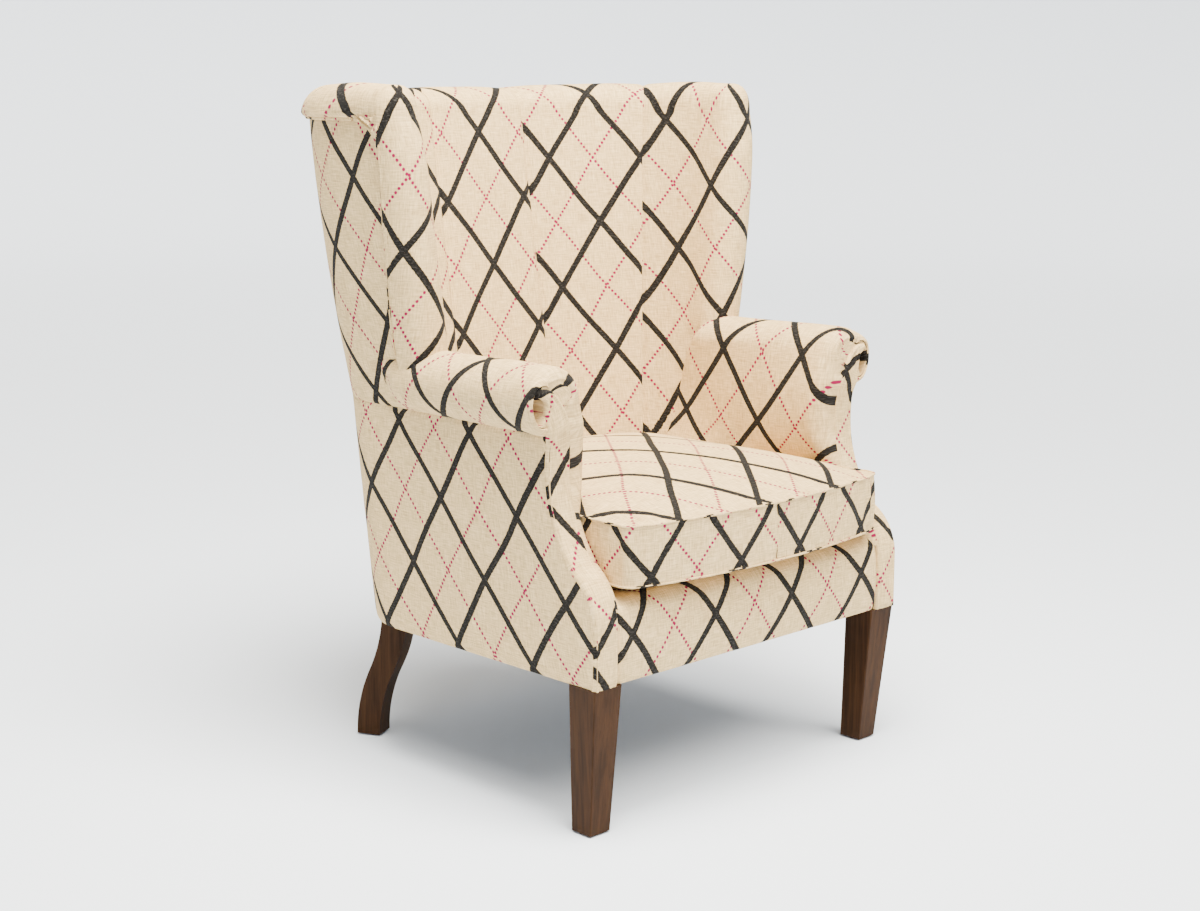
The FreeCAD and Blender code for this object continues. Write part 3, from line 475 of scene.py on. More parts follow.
def crestRise(t):  # the crest is lowest behind the sitter and climbs to the wings
    return mix(backPad["centreRise"], backPad["wingRise"], smooth(abs(t)))


def crestPoint(inner, outer, rise, turn, full=0.0):  # fuller over the inside, thinner towards the welt
    middle = (inner + outer) / 2
    c, s = math.cos(turn), max(0.0, math.sin(turn))
    flat = middle - (outer - inner) * math.copysign(abs(c) ** 0.8, c) / 2
    return Vector((flat.x, flat.y, roof + rise * s ** mix(0.8, mix(1.12, 0.72, full), smooth((0.4 - c) / 1.2))))


def backPanel(name, sideA, sideB, tilt, columns, shift):
    innerEnds = {0: lambda c: -c.atX(shell["centreSeam"]), 1: lambda c: c.atX(shell["centreSeam"]), 2: lambda c: c.bend}
    outerEnds = {0: -outsideRoof.atX(shell["centreSeam"]), 1: outsideRoof.atX(shell["centreSeam"]), 2: wingOutside}
    wall = roof - backPad["foot"]
    crestLength = backPad["crestLength"]
    total = wall + crestLength + 10

    def place(u, v):
        run = v * total
        z = min(roof, backPad["foot"] + run)
        curve = insideCurve(z)
        a, b = innerEnds[sideA](curve), innerEnds[sideB](curve)
        s = mix(a, b, u)
        flat = curve.at(s)
        outward = (curve.at(s) - insideCurve(z, 10).at(s)).normalized()
        fromSeam = min(u, 1 - u) * (b - a)
        puff = backPad["crown"] * (1 - near(fromSeam, 38)) - backPad["seamDeep"] * near(fromSeam, backPad["seamWide"])
        puff += 1.0 * ripple(s, z, 90, tilt) + 0.7 * ripple(s * 2, z, 26, tilt) * near(fromSeam, 22)
        if run <= wall:
            lean = smooth((z - 966) / 70)
            return Vector((flat.x, flat.y, z)) + Vector((outward.x, outward.y, 0)) * puff * (1 - 0.3 * lean)
        turn = math.pi * clamp((run - wall) / crestLength)
        outer = outsideRoof.at(mix(outerEnds[sideA], outerEnds[sideB], u))
        around = abs(mix(a, b, u)) / insideRoof.bend
        point = crestPoint(flat, outer, crestRise(around * 0.75), turn)
        middle = (flat + outer) / 2
        away = (point - Vector((middle.x, middle.y, roof - 25))).normalized()
        point += away * puff * 0.75
        if run > wall + crestLength:
            tuck = (run - wall - crestLength) / 10
            inward = (flat - outer).normalized() * 9 * tuck
            point = Vector((outer.x + inward.x, outer.y + inward.y, roof - 2.5 * tuck))
        return point

    def cloth(u, v):
        run = v * total
        curve = insideCurve(min(roof, backPad["foot"] + run))
        return (mix(innerEnds[sideA](curve), innerEnds[sideB](curve), u) + shift[0], run + shift[1])

    return layCloth(name, columns, 118, place, cloth, 0.75, 0.0)


print("stage: inside back")
centre = backPanel("back_panel_centre", 0, 1, 3.0, 34, (0, 0))
finishCover(centre, printedLinen, ["inside_back_centre"])
right = backPanel("back_panel_right", 1, 2, 7.0, 36, (31, 47))
finishPair(right, "back_panel", "inside_back", (0.213, -0.062))


wing = {
    "foot": 334.0, "armFoot": 650.0, "noseFoot": 650.0, "noseColumns": 34, "crestLength": 104.0, "capLength": 52.0,
    "cornerDrop": 62.0, "cornerRun": 64.0, "weltTop": 35.0, "weltFoot": 50.0, "pleat": 3.4, "pleatHub": (392, 98, 972),
}
welt = {"radius": 3.2, "drop": 3.4, "stand": 3.6}
wingWall = roof - wing["foot"]
noseWall = roof - wing["noseFoot"]


def wingFrontY(z):
    if z > shell["rollTop"]:
        return noseY(z)
    return mix(80, noseY(z), smooth((z - 430) / 256))


def wingInside(t, z):
    curve = insideCurve(z)
    share = clamp((z - shell["rollTop"]) / (roof - shell["rollTop"]))
    sink = mix(5, 0, share) * smooth((t - 0.6) / 0.4) * smooth((z - 640) / 40)
    s = mix(curve.bend, curve.atY(wingFrontY(z)), t)
    flat = curve.at(s)
    return Vector((flat.x - sink, flat.y)), s, curve


def wingOutsideAt(t, z):
    curve = outsideCurve(min(z, roof))
    if z >= roof:
        s = mix(wingOutside, outsideRoof.atY(noseY(roof)), t)
        return outsideRoof.at(s)
    return Vector((mix(outsideHalf(z) + 2, noseSpan(z)[1], smooth(t * 1.4)), mix(weltY(z), noseY(z), t)))


def cornerPleats(point):  # gathers that fan out over the wing's top front corner
    gap = point - Vector(wing["pleatHub"])
    distance = gap.length
    turn = math.atan2(gap.z, -gap.y)
    fan = near(turn - 0.85, 0.55)
    along = smooth((distance - 48) / 8) * (1 - smooth((distance - 72) / 40))
    return wing["pleat"] * math.sin(turn * 27 + ripple(turn * 40, 0, 17) * 2) * fan * along


def weltY(z):  # the welt turns down in a soft corner in front of the crest
    drop = clamp((roof - welt["drop"] - z) / wing["cornerDrop"])
    straight = mix(wing["weltTop"], wing["weltFoot"], clamp((roof - 66 - z) / 280))
    return straight + wing["cornerRun"] * (1 - math.sqrt(1 - (1 - drop) ** 2))


def wingSide():  # inside of the wing, over the crest and down to the welt
    total = wingWall + wing["crestLength"] + 10

    def place(t, v):
        run = v * total
        z = min(roof, wing["foot"] + run)
        flat, s, curve = wingInside(t, z)
        outward = (flat - insideCurve(z, 10).at(s)).normalized()
        fromSeam = s - curve.bend
        puff = 4.0 * (1 - near(fromSeam, 38)) - backPad["seamDeep"] * near(fromSeam, backPad["seamWide"])
        puff *= 1 - smooth((t - 0.55) / 0.45)
        puff += 0.9 * ripple(s, z, 80, 11) * (1 - t)
        if run <= wingWall:
            return Vector((flat.x, flat.y, z)) + Vector((outward.x, outward.y, 0)) * puff
        outer = wingOutsideAt(t, roof)
        if run <= wingWall + wing["crestLength"]:
            turn = math.pi * (run - wingWall) / wing["crestLength"]
            point = crestPoint(flat, outer, crestRise(mix(0.75, 1.0, t)), turn, smooth((t - 0.35) / 0.5))
            middle = (flat + outer) / 2
            away = (point - Vector((middle.x, middle.y, roof - 25))).normalized()
            return point + away * (puff * 0.75 + cornerPleats(point))
        below = (run - wingWall - wing["crestLength"]) / 10
        inward = (flat - outer).normalized() * 9 * below
        return Vector((outer.x + inward.x, outer.y, roof - 2.5 * below))

    def cloth(t, v):
        run = v * total
        return (wingInside(t, min(roof, wing["foot"] + run))[1] + 67, run + 90)

    return layCloth("wing_side", 36, 132, place, cloth, 0.0, 0.0)


def wingDown():  # the strip between the outside welt and the wing's rounded front, from the crest into the arm
    def place(k, v):
        z = mix(roof, wing["armFoot"], v)
        outer = wingOutsideAt(mix(frontSplit, 1, k), roof)
        away = smooth(v * mix(14, 4, smooth(k * 2)))
        tuck = 1 - smooth(v * 40)
        x = mix(outer.x, mix(outsideHalf(z) + 3.0, noseSpan(z)[1], smooth(k * 1.6)), away)
        point = Vector((x - 1.5 * tuck, mix(weltY(z), noseY(z), k), z + 2 * tuck))
        return point + Vector((1.6 * math.sin(math.pi * k) * away + cornerPleats(point), 0, 0))

    def cloth(k, v):
        z = mix(roof, wing["armFoot"], v)
        inner, outer = noseSpan(z)
        front = insideCurve(z).atY(wingFrontY(z))
        return (front + 67 + math.pi * (outer - inner) / 2 + (1 - k) * (weltY(z) - noseY(z)), z - wing["foot"] + 90)

    return layCloth("wing_down", 16, 72, place, cloth, 0.0, 0.0)


def wingNose():
    total = noseWall + wing["capLength"]

    def place(u, v):
        run = v * total
        z = min(roof, wing["noseFoot"] + run)
        inner, outer = noseSpan(z)
        radius, middle, y = (outer - inner) / 2, (inner + outer) / 2, noseY(z)
        phi = math.pi * u
        if run <= noseWall:
            point = Vector((middle - radius * math.cos(phi), y - radius * math.sin(phi), z))
            point.y -= 1.2 * ripple(phi * 30, z, 60, 5) * math.sin(phi)
            return point
        turn = math.pi / 2 * clamp((run - noseWall) / wing["capLength"])
        reach = math.cos(turn) ** 0.78
        point = Vector((middle - radius * math.cos(phi) * reach, y - radius * math.sin(phi) * reach,
                        roof + backPad["wingRise"] * math.sin(turn) ** 0.82))
        away = (point - Vector((middle, y, roof - 25))).normalized()
        return point + away * cornerPleats(point) * math.sin(phi) ** 0.5

    def cloth(u, v):
        run = v * total
        z = min(roof, wing["noseFoot"] + run)
        curve = insideCurve(z)
        inner, outer = noseSpan(z)
        s = curve.atY(wingFrontY(z))
        return (s + u * math.pi * (outer - inner) / 2 + 67, z - wing["foot"] + max(0, run - noseWall) + 90)

    return layCloth("wing_nose", wing["noseColumns"], 72, place, cloth, 0.0, 0.0)


print("stage: wings")
weltStart, noseStart = outsideRoof.atY(weltY(roof)), outsideRoof.atY(noseY(roof))
frontSplit = (wingOutside - weltStart) / (wingOutside - noseStart)
sides = [wingSide(), wingDown(), wingNose()]
rightWing = sewTogether("wing_cover_right", sides, 0.0016)
finishPair(rightWing, "wing_cover", "inside_wing", (0.094, 0.071))


arm = {
    "well": 338.0, "frontRound": 22.0, "tightRound": 2.5, "eye": (364.0, 627.0), "pleats": 11, "pleatDeep": 2.2,
    "recess": 32.0, "rows": 96, "columns": 64,
}


class Through:  # a round stretch of a side profile, as y for a given height
    def __init__(self, a, b, c):
        (ay, az), (by, bz), (cy, cz) = a, b, c
        d = 2 * (ay * (bz - cz) + by * (cz - az) + cy * (az - bz))
        sa, sb, sc = ay * ay + az * az, by * by + bz * bz, cy * cy + cz * cz
        self.y = (sa * (bz - cz) + sb * (cz - az) + sc * (az - bz)) / d
        self.z = (sa * (cy - by) + sb * (ay - cy) + sc * (by - ay)) / d
        self.radius = math.dist((self.y, self.z), a)
        self.side = 1 if by > self.y else -1

    def at(self, z):
        return self.y + self.side * math.sqrt(max(0.0, self.radius ** 2 - (z - self.z) ** 2))


hollow = Through((-277, 594), (-276, 484.3), (-325, 394))
toe = Through((-325, 394), (-357, 362), (-369, 324))
armSeam = Through((85, 441.3), (58, 586.9), (12, 684))


def sweepY(z):  # side profile of the arm's front: hollow above, turning out over the base
    if z > 594:
        return armShape["front"]
    if z > 394:
        return hollow.at(z)
    return toe.at(z) if z > 324 else armShape["baseFront"]


def seamY(z):  # where the inside arm ends against the wing
    return armShape["rear"] if z < 441.3 else armSeam.at(z)


def armProfile(q, t):  # point across the arm's section: up the inside, over the roll, down to the seam outside
    rollX, radius = mix(*armShape["rollX"], t), mix(*armShape["radius"], t)
    seat, bulge = mix(*armShape["seat"], t), mix(*armShape["bulge"], t)
    centreZ = armShape["rollZ"] - (armShape["radius"][0] - radius)
    under, rimTurn = -math.acos((339 - rollX) / radius), math.radians(165)
    wallRun, swellRun, rollRun = 126.0, 188.0, radius * (rimTurn - under)
    run = q * (wallRun + swellRun + rollRun)
    if run < wallRun:
        return Vector((seat, mix(arm["well"], armShape["lipZ"], run / wallRun))), run
    if run < wallRun + swellRun:
        k = (run - wallRun) / swellRun
        rimX, rimZ = rollX + radius * math.cos(rimTurn), centreZ + radius * math.sin(rimTurn)
        a, b, c = Vector((seat, armShape["lipZ"])), Vector((bulge, armShape["swellZ"])), Vector((rimX, rimZ))
        control = (b - a * 0.25 - c * 0.25) * 2
        return a * (1 - k) ** 2 + control * 2 * k * (1 - k) + c * k ** 2, run
    turn = rimTurn - (run - wallRun - swellRun) / radius
    return Vector((rollX + radius * math.cos(turn), centreZ + radius * math.sin(turn))), run


facing = {"inner": 297.0, "puff": 5.0, "edge": 7.0, "groove": 1.7}
# middle of the facing as it rises and curls over into the eye of the scroll: across, up, half of its width
facingLine = [
    (319.5, 230, 22.5), (319.5, 400, 22.5), (319.5, 560, 22.5), (322, 583, 21.5), (327, 603, 22.5), (331.5, 617, 20.2),
    (335.6, 628.4, 16.5), (340.3, 638.5, 12.6), (346.6, 645.9, 9.8), (355.5, 649.6, 7.6), (364.5, 651.2, 5.4),
    (371, 651.6, 2),
]


def facingInner(z):
    return facing["inner"] + 8.3 * max(0.0, (z - 560) / 43) ** 2


def turnOver(turn):  # how softly the roll's cloth turns over the front: tight beside the eye, soft elsewhere
    away = abs((math.degrees(turn) + 8 + 180) % 360 - 180)
    return mix(arm["tightRound"], arm["frontRound"], smooth((away - 30) / 45))


def armEnds(flat, run):  # front and rear end of one row of the arm's cover
    onRoll = smooth((run - 285) / 30)
    return sweepY(flat.y), mix(seamY(flat.y), armShape["rear"], smooth((run - 385) / 30)), onRoll


def armCover():
    def place(u, v):
        flat, run = armProfile(v, 0.5)
        yFront, yRear, onRoll = armEnds(flat, run)
        y = mix(yFront, yRear, u)
        fromFront, fromRear = y - yFront, yRear - y
        flat, run = armProfile(v, clamp((y - armShape["baseFront"]) / (armShape["rear"] - armShape["baseFront"])))
        hub = Vector((mix(*armShape["rollX"], 0.2), armShape["rollZ"]))
        inward = (hub - flat).normalized().lerp(Vector((1, 0)), 1 - onRoll).normalized()
        softness = mix(arm["frontRound"], turnOver(math.atan2(flat.y - hub.y, flat.x - hub.x)), onRoll)
        share = clamp(1 - fromFront / softness)
        eyeSide = (arm["frontRound"] - softness) / (arm["frontRound"] - arm["tightRound"])
        turned = 1 - math.sqrt(1 - share ** 2)
        deep = mix(max(2.0, facingInner(flat.y) + 4 - flat.x), softness * 0.95, onRoll)
        puff = 0.9 * ripple(y, run, 70, 2) + 0.5 * ripple(y, run * 1.7, 21, 4) * near(fromFront, 40)
        fade = smooth((run - 415) / 40) * smooth((y - 45) / 40)
        sink = (deep * turned + 5.0 * near(fromRear, 6) * (1 - smooth((run - 400) / 20)) + 15 * fade
                - puff * (1 - turned) - 3.0 * eyeSide * near(fromFront, 18))
        flat = flat + inward * sink
        return Vector((flat.x, y, flat.y))

    def cloth(u, v):
        flat, run = armProfile(v, 0.5)
        return (-mix(*armEnds(flat, run)[:2], u) + 40, run + 25)

    return layCloth("arm_body", arm["columns"], arm["rows"], place, cloth, 0.8, 0.0)


def armScrollEnd():  # the roll's front end: the cloth turns over the edge and runs in folds into the scroll's eye
    centre = Vector((mix(*armShape["rollX"], 0.2), armShape["rollZ"] - 0.6))
    radius = mix(*armShape["radius"], 0.2)
    eye = Vector(arm["eye"])

    def place(u, v):
        turn = math.radians(mix(-100, 260, u))
        rim = radius - turnOver(turn) * 0.95
        edge = centre + Vector((math.cos(turn), math.sin(turn))) * (rim + 1.2)
        flat = edge.lerp(eye, smooth(v) * 0.985)
        off = math.hypot((flat.x - eye.x) / 13, (flat.y - eye.y) / 23)
        fold = arm["pleatDeep"] * math.sin(turn * arm["pleats"]) * smooth(v * 3) * clamp(1.6 - off)
        recess = arm["recess"] * (1 - smooth((off - 0.7) / 0.4)) * smooth(v * 9) + 1.2 * (1 - smooth(v * 9))
        return Vector((flat.x, armShape["front"] - fold + recess, flat.y))

    def cloth(u, v):
        turn = mix(-100, 260, u)
        return (-armShape["front"] + 40 + v * 45, 314 + math.radians(165 - turn) * radius * (1 - 0.6 * v) + 25)

    return layCloth("arm_scroll_end", 130, 26, place, cloth, 0.0, 0.0)


def armRearEnd():  # a soft rounded end where the roll runs out against the outside of the wing
    radius = armShape["radius"][1] - 15

    def place(u, v):
        turn = math.radians(mix(-85, 110, u))
        reach = math.cos(v * math.pi / 2)
        x = armShape["rollX"][1] - 1 + (radius + 1) * reach * math.cos(turn)
        z = armShape["rollZ"] - 3 + radius * reach * math.sin(turn)
        return Vector((x, 84 + 20 * math.sin(v * math.pi / 2), z))

    return layCloth("arm_rear_end", 24, 8, place, lambda u, v: (u * 90 + 300, v * 40 + 400), 0.0, 0.0)


print("stage: arms")
rightArm = sewTogether("arm_cover_right", [armCover(), armScrollEnd(), armRearEnd()], 0.0008)
finishPair(rightArm, "arm_cover", "inside_arm", (0.177, 0.031))


def spline(points, t):  # smooth line through a few listed points, by distance along them
    marks = [0.0]
    for a, b in zip(points, points[1:]):
        marks.append(marks[-1] + math.dist(a[:2], b[:2]))
    s = clamp(t) * marks[-1]
    index = max(0, min(len(points) - 2, next((i for i in range(1, len(marks)) if marks[i] >= s), 1) - 1))
    k = (s - marks[index]) / (marks[index + 1] - marks[index])
    p = [Vector(points[max(0, min(len(points) - 1, index + shift))]) for shift in (-1, 0, 1, 2)]
    last = len(marks) - 1
    span = [max(1e-6, marks[min(last, index + 1 + shift)] - marks[max(0, index + shift)]) for shift in (-1, 0, 1)]
    into = (p[2] - p[0]) / (span[0] + span[1]) * span[1] if index > 0 else p[2] - p[1]
    out = (p[3] - p[1]) / (span[1] + span[2]) * span[1] if index < len(points) - 2 else p[2] - p[1]
    h = k * k * (3 - 2 * k)
    return p[1] * (1 - h) + p[2] * h + into * (k * (1 - k) ** 2) - out * (k * k * (1 - k)), s


def facingStrip():
    def place(u, v):
        middle = spline(facingLine, v)[0]
        ahead, behind = spline(facingLine, v + 0.004)[0], spline(facingLine, v - 0.004)[0]
        along = Vector((ahead.x - behind.x, ahead.y - behind.y)).normalized()
        across = Vector((along.y, -along.x))
        flat = Vector((middle.x, middle.y)) + across * (middle.z * (2 * u - 1))
        fromEdge = min(u, 1 - u) * middle.z * 2
        round = math.sqrt(clamp(1 - clamp(1 - fromEdge / facing["edge"]) ** 2))
        puff = mix(-3.5, facing["puff"], round) - facing["groove"] * near(fromEdge - 9, 2.5)
        puff += 0.7 * ripple(flat.x * 2, flat.y, 30, 9)
        puff -= 3.0 * near(flat.y - shell["base"], 5)
        curl = smooth((v - 0.86) / 0.12)
        puff += 1.0 * math.sin(u * 16) * near(v - 0.93, 0.04) - 9.0 * smooth((v - 0.975) / 0.025) + 1.5 * curl
        slope = (sweepY(flat.y + 6) - sweepY(flat.y - 6)) / 12
        out = Vector((0, -1, slope)).normalized()
        return Vector((flat.x, sweepY(flat.y), flat.y)) + out * puff

    def cloth(u, v):
        middle, run = spline(facingLine, v)
        return (middle.z * (2 * u - 1) + 17, run + 60)

    return layCloth("facing_strip", 22, 130, place, cloth, 0.8, 0.0)


rightFacing = sewTogether("arm_facing_cover_right", [facingStrip()], 0.0002)
finishPair(rightFacing, "arm_facing_cover", "arm_facing", (0.05, 0.12))


outside = {"puff": 2.2, "seamDeep": 4.0, "seamWide": 5.0}


def outsideCover(name, zLow, zHigh, frontS, columns, rows, shift, seed, rearS=lambda c: c.bend):
    def place(u, v):
        z = mix(zLow, zHigh, v)
        curve = outsideCurve(z)
        a, b = frontS(curve, z), rearS(curve)
        s = mix(a, b, u)
        flat = curve.at(s)
        away = (outsideCurve(z, -10).at(s) - flat).normalized()
        fromEdge = min(abs(s - a), abs(s - b), (z - zLow) * 1.4, (zHigh - z) * 1.2)
        puff = outside["puff"] * (1 - near(fromEdge, 30)) - outside["seamDeep"] * near(fromEdge, outside["seamWide"])
        puff += 0.7 * ripple(s, z, 110, seed) + 0.5 * ripple(s * 1.5, z, 24, seed) * near(fromEdge, 25)
        return Vector((flat.x + away.x * puff, flat.y + away.y * puff, z))

    def cloth(u, v):
        z = mix(zLow, zHigh, v)
        curve = outsideCurve(z)
        return (-mix(frontS(curve, z), rearS(curve), u) + shift[0], z + shift[1])

    return layCloth(name, columns, rows, place, cloth, 0.7, 0.5)


print("stage: outside covers")
outsideArm = outsideCover("outside_arm_cover_right", shell["base"], shell["seam"] + 1,
                          lambda c, z: c.atY(sweepY(z)), 60, 54, (11, 5), 21)
finishPair(outsideArm, "outside_arm_cover", "outside_arm", (0.033, 0.087))
outsideWing = outsideCover("outside_wing_cover_right", shell["seam"] - 1, roof - 1,
                           lambda c, z: c.atY(weltY(z) - 2), 36, 72, (57, 33), 23)
finishPair(outsideWing, "outside_wing_cover", "outside_wing", (0.121, 0.019))
outsideBack = outsideCover("outside_back_cover", shell["base"], roof - 1,
                           lambda c, z: c.bend, 72, 92, (85, 71), 25, lambda c: -c.bend)
finishCover(outsideBack, printedLinen, ["outside_back"])


borderLow = Through((-366, 230), (-373, 288), (-368, 336))
borderBrow = Through((-368, 336), (-358, 348), (-336, 356))


def borderProfile(run):  # under the edge, up the swelling front, over the brow and back under the cushion
    points = [(-340, 227.5), (-360, 228)] + [(borderLow.at(z), z) for z in range(231, 336, 8)]
    points += [(borderBrow.at(z), z) for z in (336, 340, 344, 348, 351, 353.5)] + [(-336, 355.4), (-302, 355.9)]
    lengths = [math.dist(a, b) for a, b in zip(points, points[1:])]
    left = run * sum(lengths)
    for a, b, length in zip(points, points[1:], lengths):
        if left <= length:
            return Vector(a).lerp(Vector(b), left / length), run * sum(lengths)
        left -= length
    return Vector(points[-1]), sum(lengths)


def borderCover():
    def place(u, v):
        x = mix(-298.5, 298.5, u)
        flat, run = borderProfile(v)
        fromEnd = min(u, 1 - u) * 597
        tuck = 5.0 * near(fromEnd, 6) * smooth(run / 20)
        puff = 1.8 * (1 - near(fromEnd, 60)) * math.sin(math.pi * clamp(run / 150)) + 0.7 * ripple(x, run, 60, 31)
        return Vector((x, flat.x - puff + tuck, flat.y))

    def cloth(u, v):
        return (mix(-297, 297, u) + 9, borderProfile(v)[1] + 13)

    return layCloth("front_border_cover", 90, 44, place, cloth, 0.6, 0.0)


finishCover(borderCover(), printedLinen, ["front_border"])

deckBox = [Vector(c) * 1000 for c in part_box("seat_deck")]


def deckPlace(u, v):
    y = mix(deckBox[0].y + 1, deckBox[1].y - 8, v)
    half = mix(259, 252, v) if v < 0.7 else mix(252, 168, ((v - 0.7) / 0.3) ** 2.2)
    x = half * (2 * u - 1)
    sag = 2.2 * (1 - abs(2 * u - 1) ** 3) * math.sin(math.pi * v)
    channel = 1.6 * near((x + 400) % 86 - 43, 4) * (1 - near(v, 0.05))
    return Vector((x, y, deckBox[1].z - 0.4 - sag * 0.6 - channel))


deck = layCloth("deck_cover", 90, 60, deckPlace, lambda u, v: (u * 500, v * 460), 0.0, 0.0)
finishCover(deck, calico, ["seat_deck"], thickness=12.0, fill=0.4, slot="deck_lining")

underside = {"inset": 3.5, "sag": 3.0}


def undersidePlace(u, v):
    curve = outsideCurve(shell["base"], underside["inset"])
    y = mix(-358.0, curve.centreY + curve.backRadius - 0.5, v)
    half = curve.half
    if y > curve.sideY:
        low = narrow(0.0, curve.backLength + curve.cornerLength, 24, lambda s: curve.at(s).y > y)[0]
        half = curve.at(low).x
    sag = underside["sag"] * math.sin(math.pi * clamp(v * 1.02)) * (1 - (2 * u - 1) ** 4)
    return Vector((half * (2 * u - 1), y, shell["base"] + 0.6 - sag * 0.5 + 0.4 * ripple(u * 600, v * 600, 60, 41)))


under = layCloth("underside_cloth", 48, 48, undersidePlace, lambda u, v: (u * 678, v * 620), 0.0, 0.2)
finishCover(under, blackCloth, ["dust_cover"], thickness=0.8, fill=None, slot="black_underlining")


def weltCord(name, line, radius, uvShift, across=3.0):
    marks = marksAlong(line)
    total = marks[-1]
    print("cord", name, round(total), "mm")

    def place(u, v):
        s = u * total
        point = pointAlong(line, marks, s)
        ahead = (pointAlong(line, marks, min(total, s + 4)) - pointAlong(line, marks, max(0, s - 4))).normalized()
        side = ahead.cross(Vector((0.3, 0.2, 1))).normalized()
        top = side.cross(ahead)
        fade = math.sqrt(clamp(1 - clamp(1 - min(s, total - s) / radius) ** 2))
        turn = 2 * math.pi * v
        return point + (side * math.cos(turn) + top * math.sin(turn)) * radius * fade

    count = int(total / 5)
    cord = layCloth(name, count, 10, place, lambda u, v: (u * total + uvShift, v * radius * 5 + across), 0.0, 0.0)
    return sewTogether(name, [cord], 0.0001)


print("stage: welts")
weltRoof = outsideCurve(roof, -welt["radius"])
weltLength = weltRoof.atY(weltY(roof))
crestLine = []
for step in range(121):
    s = mix(weltLength, -weltLength, step / 120)
    flat = weltRoof.at(s)
    crestLine.append(Vector((flat.x, flat.y, roof - welt["drop"])))
finishCover(weltCord("crest_welt", crestLine, welt["radius"], 40), printedLinen, ["back_welt"], thickness=0, fill=None)


def wingWeltLine():
    line = []
    for step in range(12):
        turn = math.pi / 2 * step / 11
        z = roof - welt["drop"] - wing["cornerDrop"] * (1 - math.cos(turn))
        line.append(Vector((outsideHalf(z) + welt["stand"], weltY(z), z)))
    low = roof - welt["drop"] - wing["cornerDrop"]
    for step in range(1, 30):
        z = mix(low, 672.0, step / 29)
        line.append(Vector((outsideHalf(z) + welt["stand"], weltY(z) - 1.0 * math.sin(step / 29 * 3.1), z)))
    return line


rightWelt = weltCord("wing_welt_cord_right", wingWeltLine(), welt["radius"], 90)
finishPair(rightWelt, "wing_welt_cord", "wing_welt", (0.05, 0.01), thickness=0, fill=None)


# Loose box cushion: crowned top, drawn-in border, ridged seams, swollen by simulation
cushion = {
    "frontHalf": 283.0, "rearHalf": 256.5, "front": -378.0, "bow": 31.0, "rear": 170.0, "corner": 122.0,
    "bottom": 357.0, "seamLow": 374.0, "seamHigh": 459.0, "crown": 56.0, "heart": (0.0, -95.0),
    "columns": 96, "ridge": 3.0, "pucker": 1.6, "cord": 1.8,
    "pressure": 2.6, "shrink": 0.045, "cap": 20.0, "frames": 20,
    "zipHeart": -429.0, "zipBed": 596.0, "zipTurn": 19.2, "zipHigh": 17.0,
}


def cushionEdge():  # outline of the cushion from above, once round, starting at the middle of the front
    half, frontY = cushion["frontHalf"], cushion["front"]
    curve = PlanCurve(cushion["rearHalf"], cushion["rear"], 600.0, cushion["corner"])
    radius = 20.0
    points = []
    bowAt = lambda x: frontY - cushion["bow"] * (1 - (x / half) ** 2)
    for step in range(20):
        x = (half - radius) * step / 20
        points.append(Vector((x, bowAt(x))))
    for step in range(9):
        turn = math.radians(-90 + 90 * step / 8)
        points.append(Vector((half - radius + radius * math.cos(turn), frontY + radius - 1 + radius * math.sin(turn))))
    for step in range(1, 24):
        points.append(Vector((half, frontY + radius)).lerp(Vector((cushion["rearHalf"], curve.sideY)), step / 24))
    sMax = curve.backLength + curve.cornerLength
    for step in range(31):
        points.append(curve.at(sMax * (1 - step / 30)))
    return points + [Vector((-p.x, p.y)) for p in reversed(points[1:-1])]


edgeLine = cushionEdge()
edgeMarks = marksAlong(edgeLine + edgeLine[:1])


def edgeAt(s):
    return pointAlong(edgeLine, edgeMarks, s % edgeMarks[-1])


def seamRidge(s):  # how far the sewn edge stands out, with its small puckers
    return cushion["ridge"] * (1 + 0.22 * math.sin(s / 3.7 + 2.2 * ripple(s, 0, 60, 3)) + 0.3 * ripple(s, 0, 18, 7))


def puckers(s, distance):
    wave = math.sin(s / 3.9 + 3.0 * ripple(s, 0, 70, 13)) + 0.8 * math.sin(s / 8.3 + 2 * ripple(s, 0, 90, 15))
    return cushion["pucker"] * wave * near(distance - 8, 8) * smooth(distance / 5) * (0.5 + ripple(s, 0, 140, 19))


def cushionFace(up):  # top or bottom panel, squeezed from a grid so that its edge follows the outline
    heart = Vector(cushion["heart"])

    def place(u, v):
        a, b = 2 * u - 1, 2 * v - 1
        round = Vector((a * math.sqrt(1 - b * b / 2), b * math.sqrt(1 - a * a / 2)))
        reach = round.length
        s = (math.atan2(round.x, -round.y) / (2 * math.pi)) % 1.0 * edgeMarks[-1]
        edge = edgeAt(s)
        flat = heart.lerp(edge, reach)
        distance = (1 - reach) * (edge - heart).length
        ridge = seamRidge(s) * near(distance, 3.4)
        flat += (edge - heart).normalized() * ridge * 0.7
        if up:
            z = cushion["seamHigh"] + cushion["crown"] * (1 - reach ** 2.15) + ridge + puckers(s, distance)
            z += 1.6 * ripple(flat.x, flat.y, 120, 4) * (1 - reach ** 6)
        else:
            z = mix(cushion["bottom"], cushion["seamLow"], smooth((reach - 0.82) / 0.18) ** 1.6) - ridge * 0.5
        return Vector((flat.x, flat.y, z))

    def cloth(u, v):
        point = place(u, v)
        return (point.x + 20, point.y * 1.03 + 400 + (0 if up else 900))

    count = cushion["columns"]
    return layCloth("cushion_top" if up else "cushion_bottom", count, count, place, cloth, 0.82, 0.82)


